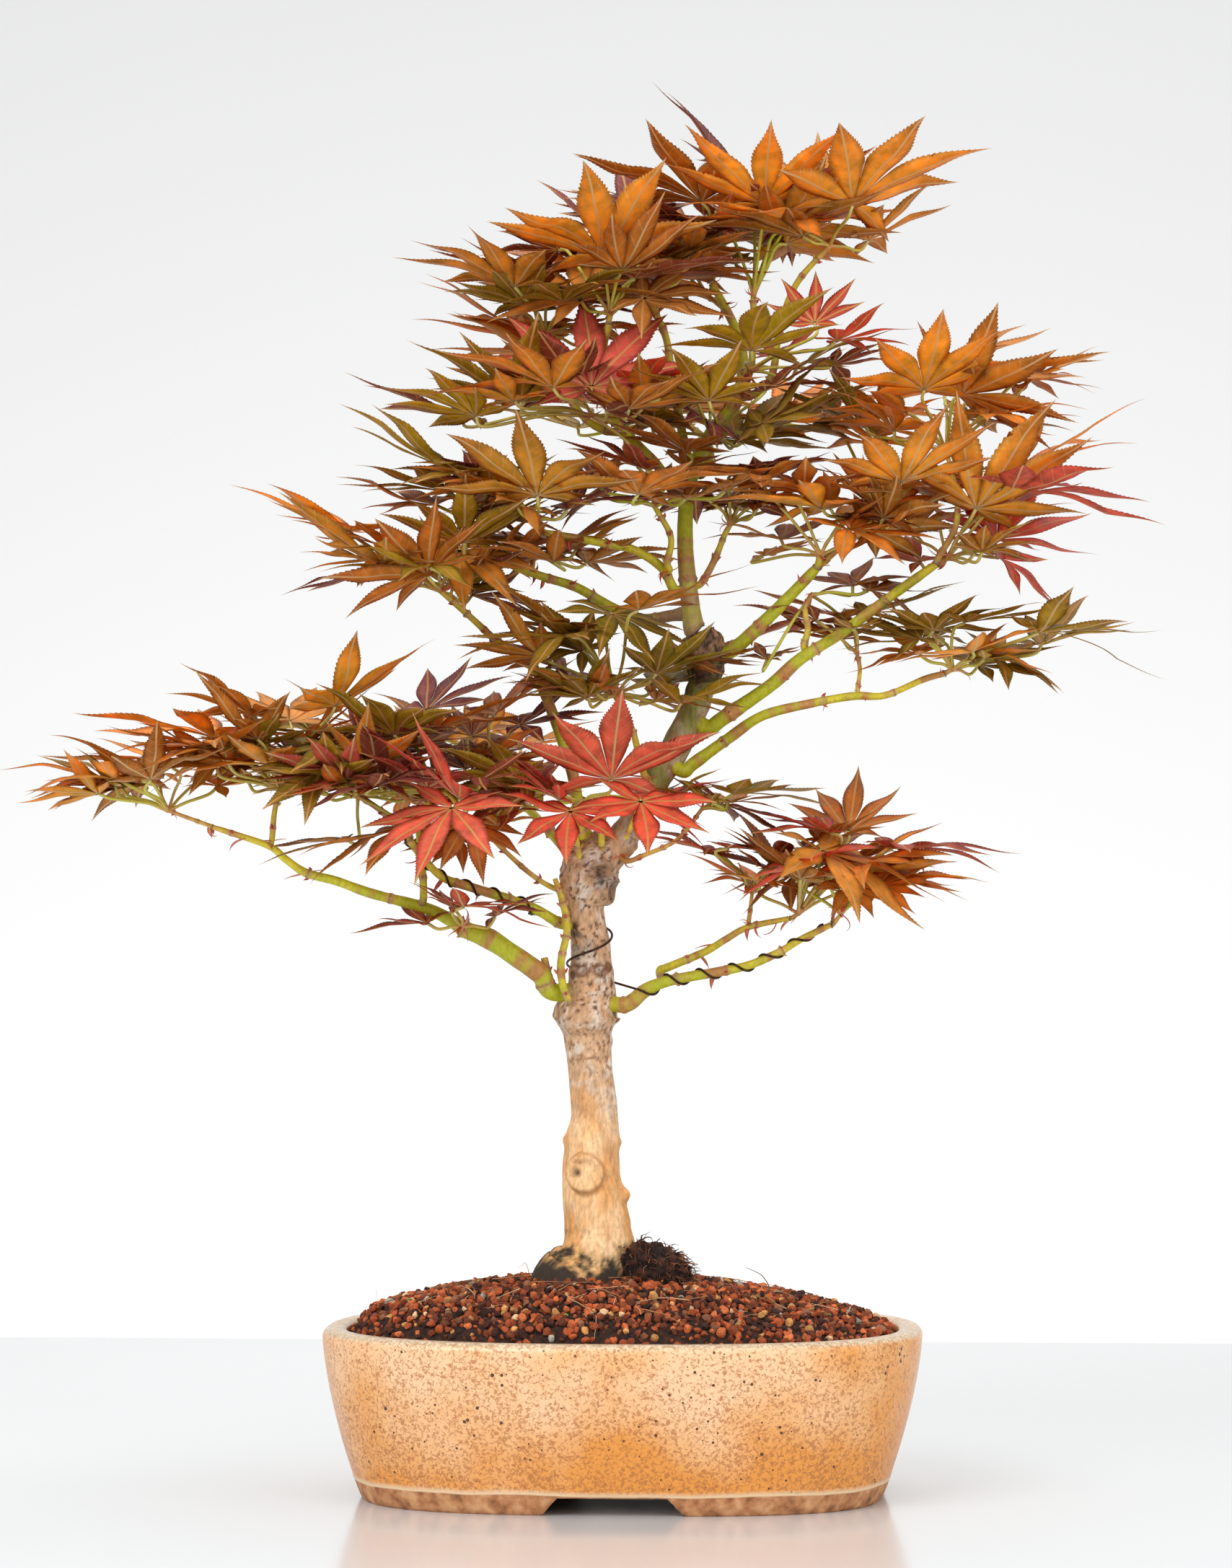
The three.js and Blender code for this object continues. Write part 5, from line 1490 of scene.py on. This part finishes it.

# The tones of each shoot's leaves, from its leftmost leaf to its rightmost. A p there is partly
# painted shade.
SHOOT_TONES = {
    "leaves_apex_tip": "bbb", "leaves_apex_centre": "poo", "leaves_apex_right": "oo",
    "leaves_apex_front": "vrr", "leaves_apex_left": "pbbb", "leaves_upper_left": "opp",
    "leaves_upper_left_red": "rb", "leaves_left_top": "oopoo", "leaves_left_mid": "poop",
    "leaves_mid_left_front": "poo", "leaves_mid_left_tip": "vvv", "leaves_mid_left_low": "bbb",
    "leaves_left_high": "opoo", "leaves_centre_yellow": "bbb", "leaves_centre_twig": "pb",
    "leaves_leader_mid": "vpv", "leaves_centre_right": "bbb", "leaves_right_upper": "oooo",
    "leaves_far_right_up": "oooo", "leaves_far_right": "bgrro", "leaves_right_bud": "bb",
    "leaves_right_low_tip": "vvvv", "leaves_right_low_mid": "vv", "leaves_centre_low": "vbvbv",
    "leaves_front_red": "rrrr", "leaves_low_left_end": "ooo", "leaves_low_left_tip": "oobovo",
    "leaves_low_left_mid": "vvbvb", "leaves_low_left_front": "pbrr", "leaves_left_twig": "bbbb",
    "leaves_low_star": "dd", "leaves_low_right_end": "ooo", "leaves_low_right_upper": "bbrbr",
    "leaves_low_right_mid": "dd", "leaves_front_right": "vv", "leaves_back_low": "bobo",
    "leaves_back_high": "vvovo", "leaves_back_crown": "bpb",
}

LOBE_PROFILE = (
    (0.0, 0.30), (0.12, 0.44), (0.25, 0.72), (0.36, 0.94), (0.46, 1.0), (0.56, 0.93), (0.66, 0.73),
    (0.76, 0.46), (0.84, 0.27), (0.92, 0.12), (1.0, 0.0),
)
INNER_ROWS = 6
OUTER_ROWS = 34
# Across a lobe, from edge to edge: places and thickness in millimetres.
COLUMNS = (-1.0, -0.5, 0.0, 0.5, 1.0)
THICKNESS = (0.0, 0.16, 0.3, 0.16, 0.0)
TEETH = (-0.04, 0.05)  # how far the edge goes in and out at a tooth, as a share of the width
HEEL_TURN = math.radians(48)


def lobe_half_width(t, widest):
    places, widths = zip(*LOBE_PROFILE)
    return widest * np.interp(t, places, widths)


def sinus_radius(reach, widest, half_angle):
    """How far out the edge of a lobe parts from its neighbour's."""
    t = np.linspace(0.12, 0.7, 60)
    free = t * math.tan(half_angle) * reach > lobe_half_width(t, widest)
    at = t[free.argmax()] if free.any() else 0.7
    return at * reach / math.cos(half_angle)


def lobe_edge(half_angle, sinus, reach, widest):
    """One edge of a lobe: distances along the midrib, and across from it."""
    start = sinus * math.cos(half_angle)
    inner = np.linspace(0, 1, INNER_ROWS + 1)
    s = start + (reach - start) * np.linspace(0, 1, OUTER_ROWS + 1)[1:] ** 0.96
    free = lobe_half_width(s / reach, widest)
    ease = np.clip((s - start) / (reach * 0.1), 0, 1)
    limit = s * math.tan(half_angle) * (1 - 0.07 * ease)
    if half_angle > 0.7:
        limit = sinus * math.sin(half_angle) + (s - start) * 0.9
    width = np.minimum(free, limit)
    # Saw teeth that point to the lobe's tip.
    tooth = np.where(np.arange(OUTER_ROWS) % 2 == 0, *TEETH)
    bite = np.clip(ease * 1.2, 0, 1) * (0.6 * width + 0.4 * width.max())
    width = np.clip(width + tooth * bite * (width > 0.02 * reach), 0, None)
    forward = np.where(tooth > 0, 0.35, -0.15) * reach / OUTER_ROWS * ease
    along = np.concatenate([inner * start, s + forward])
    return along, np.concatenate([inner * sinus * math.sin(half_angle), width])


def lobe_grid(left, right, reach):
    """Rows of a lobe from its base to its tip, in COLUMNS: along its midrib, and across it."""
    centre = (left[0] + right[0]) / 2
    base = centre[INNER_ROWS]
    centre[INNER_ROWS + 1 :] = base + (reach - base) * np.linspace(0, 1, OUTER_ROWS + 1)[1:]
    s, u = [], []
    for column in COLUMNS:
        along, across = left if column < 0 else right
        s.append(centre + (along - centre) * abs(column))
        u.append(across * column)
    return np.stack(s, axis=1), np.stack(u, axis=1)


def blade_mesh(length, chance):
    """A seven-lobed blade, in its own axes: points, faces, sides, and each point's lobe place."""
    slim = chance.uniform(0.11, 0.136)
    lobes = []
    for degrees, share in LOBES:
        lobes.append((
            math.radians(degrees + chance.gauss(0, 1.8)),
            length * share * (1 + chance.gauss(0, 0.03)),
            length * (slim * (0.35 + 0.65 * share)),
        ))
    bounds, sinuses = [], []
    for (a, ra, wa), (b, rb, wb) in zip(lobes, lobes[1:]):
        half = (b - a) / 2
        bounds.append((a + b) / 2)
        sinuses.append(min(sinus_radius(ra, wa, half), sinus_radius(rb, wb, half)))
    bounds = [lobes[0][0] - HEEL_TURN] + bounds + [lobes[-1][0] + HEEL_TURN]
    sinuses = [length * HEEL_SHARE] + sinuses + [length * HEEL_SHARE]

    droop = chance.uniform(0.0, 0.24)
    fold = chance.uniform(0.05, 0.3)
    points, faces, uvs, along, edge = [], [], [], [], []
    for i, (angle, reach, widest) in enumerate(lobes):
        sag = droop * chance.uniform(0.3, 1.6)
        tilt = chance.gauss(0.0, 0.13)
        sway = chance.gauss(0, 0.07)
        twist = chance.gauss(0, 0.35)
        wave = chance.uniform(0, 6.3)
        direction = np.array([math.cos(angle), math.sin(angle)])
        across = np.array([-direction[1], direction[0]])
        left = lobe_edge(abs(bounds[i] - angle), sinuses[i], reach, widest)
        right = lobe_edge(abs(bounds[i + 1] - angle), sinuses[i + 1], reach, widest)
        s, u = lobe_grid(left, right, reach)
        t = s / reach
        flat = s[..., None] * direction + u[..., None] * across
        bent = sway * reach * np.clip(t - 0.3, 0, 1) ** 2
        flat = flat + bent[..., None] * across
        radius = np.hypot(s, u)
        z = (BLADE_CUP + tilt * np.clip(t * 1.6, 0, 1)) * radius
        z = z - sag * reach * np.clip(t - 0.22, 0, None) ** 1.7
        free_part = np.clip((t - 0.2) / 0.3, 0, 1)
        z = z + fold * np.abs(u) * (0.35 + 0.65 * free_part) + twist * u * np.clip(t - 0.35, 0, 1)
        z = z + 0.012 * reach * np.sin(t * 9 + wave) * free_part
        thick = np.array(THICKNESS) * np.clip(1.15 - t, 0.1, 1)
        for layer in (0, 1):
            base = sum(len(p) for p in points)
            lowered = z - thick * layer
            points.append(np.concatenate([flat, lowered[..., None]], axis=-1).reshape(-1, 3))
            uvs.append(np.stack([u, s], axis=-1).reshape(-1, 2))
            along.append(t.reshape(-1))
            edge.append(np.abs(u / max(widest, 1e-6)).reshape(-1))
            rows, columns = s.shape
            index = np.arange(rows * columns).reshape(rows, columns) + base
            quads = [index[:-1, :-1], index[1:, :-1], index[1:, 1:], index[:-1, 1:]]
            quads = np.stack(quads, axis=-1).reshape(-1, 4)
            faces.append(quads[:, ::-1] if layer else quads)
    sides = np.concatenate([np.full(len(f), i % 2) for i, f in enumerate(faces)])
    return (
        np.vstack(points), np.vstack(faces), sides, np.vstack(uvs),
        np.concatenate(along), np.concatenate(edge),
    )


def weld(points, faces):
    """Merges equal points.

    Returns the kept points' indices, the faces without doubled corners, and those faces' indices.
    """
    _, first, back = np.unique(np.round(points, 4), axis=0, return_index=True, return_inverse=True)
    back = back.reshape(-1)
    clean, kept = [], []
    seen = set()
    for i, face in enumerate(back[faces]):
        corners = [v for j, v in enumerate(face) if v != face[j - 1]]
        key = tuple(sorted(corners))
        if len(set(corners)) == len(corners) >= 3 and key not in seen:
            seen.add(key)
            clean.append([int(v) for v in corners])
            kept.append(i)
    return first, clean, kept


def leaf_tints(letter, along, edge, chance):
    """Underside and upper side colours of a leaf, from its heart to its tips."""
    under, upper, tip = (rgb(code) for code in TONES[letter])
    light = chance.uniform(0.92, 1.45)
    warm = np.array([chance.uniform(0.92, 1.12), 1.0, chance.uniform(0.8, 1.1)])
    share = np.clip((along - 0.35) / 0.65, 0, 1)[:, None] ** 1.3 * chance.uniform(0.55, 1.0)
    rim = np.clip(edge - 0.5, 0, 1)[:, None] * chance.uniform(0.4, 1.2)
    blush = np.clip(share + rim, 0, 0.95)
    lower = (under + (tip * 0.95 - under) * blush * 0.9) * light * warm
    higher = (upper + (tip * 0.8 - upper) * blush * 0.7) * light * warm
    return np.clip(lower, 0, 1), np.clip(higher, 0, 1)


def grow_shoot_leaves(name, materials):
    """All blades of one shoot as one piece."""
    chance = random.Random("leaves " + name)
    blades, tip, _, _ = shoot_of(name)
    if len(blades) != len(SHOOT_TONES[name]):
        raise RuntimeError(f"{name} has {len(blades)} leaves, and tones for another number")
    extra = side_blades(name, blades, tip)
    blades = blades + [blade for blade, _ in extra]
    letters = SHOOT_TONES[name] + "".join(letter for _, letter in extra)
    points, faces, slots, uvs, lowers, uppers = [], [], [], [], [], []
    count = 0
    for letter, (joint, axes, length) in zip(letters, blades):
        local, quads, sides, uv, along, edge = blade_mesh(length, chance)
        first, clean, kept = weld(local, quads)
        lower, upper = leaf_tints(letter, along[first], edge[first], chance)
        points.append(joint + local[first] @ axes.T)
        faces += [[count + v for v in face] for face in clean]
        slots += [int(sides[i]) for i in kept]
        uvs.append(uv[first])
        lowers.append(lower)
        uppers.append(upper)
        count += len(first)
    piece_name = name.replace("leaves_", "blades_")
    piece = mesh_piece(piece_name, np.vstack(points), faces, materials, [name], True, slots)
    paint(piece, "upper", np.vstack(uppers))
    paint(piece, "under", np.vstack(lowers))
    layer = piece.data.uv_layers.new(name="lobe")
    corners = np.empty(len(piece.data.loops), np.int32)
    piece.data.loops.foreach_get("vertex_index", corners)
    layer.data.foreach_set("uv", np.vstack(uvs)[corners].astype(np.float32).ravel())


class BONSAI_OT_leaves(bpy.types.Operator):
    """Opens the lobed, toothed maple leaves of every shoot"""

    bl_idname = "bonsai.leaves"
    bl_label = "Leaves"

    def execute(self, context):
        materials = [
            leaf_side("maple_leaf_upper_waxy", "upper", 0.46, "#DDAA66", 0.36),
            leaf_side("maple_leaf_underside_satin", "under", 0.52, "#EED096", 0.42),
        ]
        for name in LEAF_NODES:
            grow_shoot_leaves(name, materials)
        return {"FINISHED"}


# ------------------------------------------------------------------ stage

CAMERA_OFFSET = np.array([100.6, -1797.2, 231.0])  # millimetres from the pot's middle
CAMERA_LENS = 98.5
CAMERA_TILT = math.radians(2.05)


TABLE_HALF, TABLE_FRONT, TABLE_BACK = 6.0, -3.0, 0.66  # metres, as all of the stage
BACKDROP_AT = 6.5
BACKDROP_SPAN = (-9.0, 9.0, -4.0, 9.0)
SUBJECT = (0.014, -0.01, 0.28)
# Soft lights: name, the setting that gives the power, place, target, width and height.
SOFT_BOXES = (
    ("key_softbox", "key", (-1.1, -1.7, 1.7), SUBJECT, (1.4, 1.4)),
    ("fill_softbox", "fill", (1.6, -1.5, 0.9), SUBJECT, (1.4, 1.4)),
    ("top_softbox", "top", (0.1, 0.3, 2.1), SUBJECT, (1.6, 1.6)),
    ("backdrop_wash", "wash", (-0.2, 3.0, -1.4), (0.2, BACKDROP_AT, 1.4), (6.0, 1.2)),
)


def soft_box(name, power, place, target, size):
    light = bpy.data.lights.new(name, "AREA")
    light.shape = "RECTANGLE"
    light.size, light.size_y = size
    light.energy = power
    made = bpy.data.objects.new(name, light)
    bpy.context.scene.collection.objects.link(made)
    made.location = place
    made.rotation_euler = (Vector(target) - Vector(place)).to_track_quat("-Z", "Y").to_euler()


def stage_sheet(name, places, material):
    mesh = bpy.data.meshes.new(name)
    mesh.from_pydata(places, [], [[0, 1, 2, 3]])
    made = bpy.data.objects.new(name, mesh)
    mesh.materials.append(material)
    bpy.context.scene.collection.objects.link(made)


class BONSAI_OT_stage(bpy.types.Operator):
    """Sets the pale table, the backdrop, the soft lights and the camera"""

    bl_idname = "bonsai.stage"
    bl_label = "Stage"

    def execute(self, context):
        scene = context.scene
        look = scene.bonsai_stage
        table = studio_surface("acrylic_sheet_polished_white", "#D6D9DB", 0.14, 900)
        paper = studio_surface("paper_backdrop_matt_white", "#F8F8F6", 0.9, 1500)
        left, right, low, high = -TABLE_HALF, TABLE_HALF, TABLE_FRONT, TABLE_BACK
        sheet = [(left, low, 0), (right, low, 0), (right, high, 0), (left, high, 0)]
        stage_sheet("table", sheet, table)
        left, right, low, high = BACKDROP_SPAN
        y = BACKDROP_AT
        sheet = [(left, y, low), (right, y, low), (right, y, high), (left, y, high)]
        stage_sheet("backdrop", sheet, paper)
        for name, setting, *spot in SOFT_BOXES:
            soft_box(name, getattr(look, setting), *spot)
        world = bpy.data.worlds.new("white_room")
        world.use_nodes = True
        background = world.node_tree.nodes["Background"].inputs
        background["Color"].default_value = linear("#FCFDFF")
        background["Strength"].default_value = look.room
        scene.world = world
        scene.view_settings.view_transform = "Standard"

        camera = bpy.data.cameras.new("front_camera")
        camera.sensor_fit = "VERTICAL"
        camera.sensor_height = 36
        camera.lens = CAMERA_LENS
        camera.clip_end = 50
        made = bpy.data.objects.new("front_camera", camera)
        scene.collection.objects.link(made)
        middle = np.append(POT_MIDDLE[:2], 0)
        made.location = (middle + CAMERA_OFFSET) * MM
        made.rotation_euler = (math.pi / 2 + CAMERA_TILT, 0, TREE_TURN)
        scene.camera = made
        return {"FINISHED"}


# ------------------------------------------------------------------ add-on

def colour_prop(name, description, code):
    return bpy.props.FloatVectorProperty(
        name=name, description=description, subtype="COLOR", size=3, min=0, max=1,
        default=linear(code)[:3],
    )


def power_prop(name, description, watts):
    return bpy.props.FloatProperty(
        name=name, description=description, default=watts, min=0, unit="POWER",
    )


class BonsaiGlaze(bpy.types.PropertyGroup):
    pale: colour_prop("Pale glaze", "Where the glaze is thin", "#FDD0A2")
    buff: colour_prop("Buff glaze", "The glaze's main colour", "#F6BC80")
    pooled: colour_prop("Pooled glaze", "Where the glaze ran thick", "#EE9F45")
    speck: colour_prop("Specks", "Iron specks in the glaze", "#B8703A")
    clay: colour_prop("Clay", "The bare foot", "#BE8254")


class BonsaiSoil(bpy.types.PropertyGroup):
    granule: bpy.props.FloatProperty(
        name="Granule size", description="Width of a common granule, in millimetres",
        default=4.2, min=2.5, max=9.0,
    )


class BonsaiStage(bpy.types.PropertyGroup):
    key: power_prop("Key light", "Large soft light at the front left", 34.0)
    fill: power_prop("Fill light", "Soft light at the front right", 15.0)
    top: power_prop("Top light", "Soft light above and behind", 18.0)
    wash: power_prop("Backdrop light", "Light on the backdrop only", 96.0)
    room: bpy.props.FloatProperty(
        name="Room light", description="Even light from the white room", default=0.62, min=0,
    )


OPERATORS = (
    BONSAI_OT_stage, BONSAI_OT_pot, BONSAI_OT_screens, BONSAI_OT_soil, BONSAI_OT_trunk,
    BONSAI_OT_boughs, BONSAI_OT_wire, BONSAI_OT_stems, BONSAI_OT_leaves,
)


class BONSAI_PT_panel(bpy.types.Panel):
    """Lists the pieces of the bonsai and the settings that shape them"""

    bl_idname = "BONSAI_PT_panel"
    bl_label = "Bonsai"
    bl_space_type = "VIEW_3D"
    bl_region_type = "UI"
    bl_category = "Bonsai"

    def draw(self, context):
        scene = context.scene
        for group in (scene.bonsai_glaze, scene.bonsai_soil, scene.bonsai_stage):
            box = self.layout.box()
            for key in group.__annotations__:
                box.prop(group, key)
        for operator in OPERATORS:
            self.layout.operator(operator.bl_idname)


GROUPS = {"bonsai_glaze": BonsaiGlaze, "bonsai_soil": BonsaiSoil, "bonsai_stage": BonsaiStage}
CLASSES = (*GROUPS.values(), *OPERATORS, BONSAI_PT_panel)


def register():
    for cls in CLASSES:
        bpy.utils.register_class(cls)
    for key, group in GROUPS.items():
        setattr(bpy.types.Scene, key, bpy.props.PointerProperty(type=group))


def unregister():
    for key in GROUPS:
        delattr(bpy.types.Scene, key)
    for cls in reversed(CLASSES):
        bpy.utils.unregister_class(cls)


def corners(box):
    return [[float(v) for v in corner] for corner in box]


def main():
    register()
    for operator in OPERATORS:
        group, name = operator.bl_idname.split(".")
        getattr(getattr(bpy.ops, group), name)()


if __name__ == "__main__":
    main()
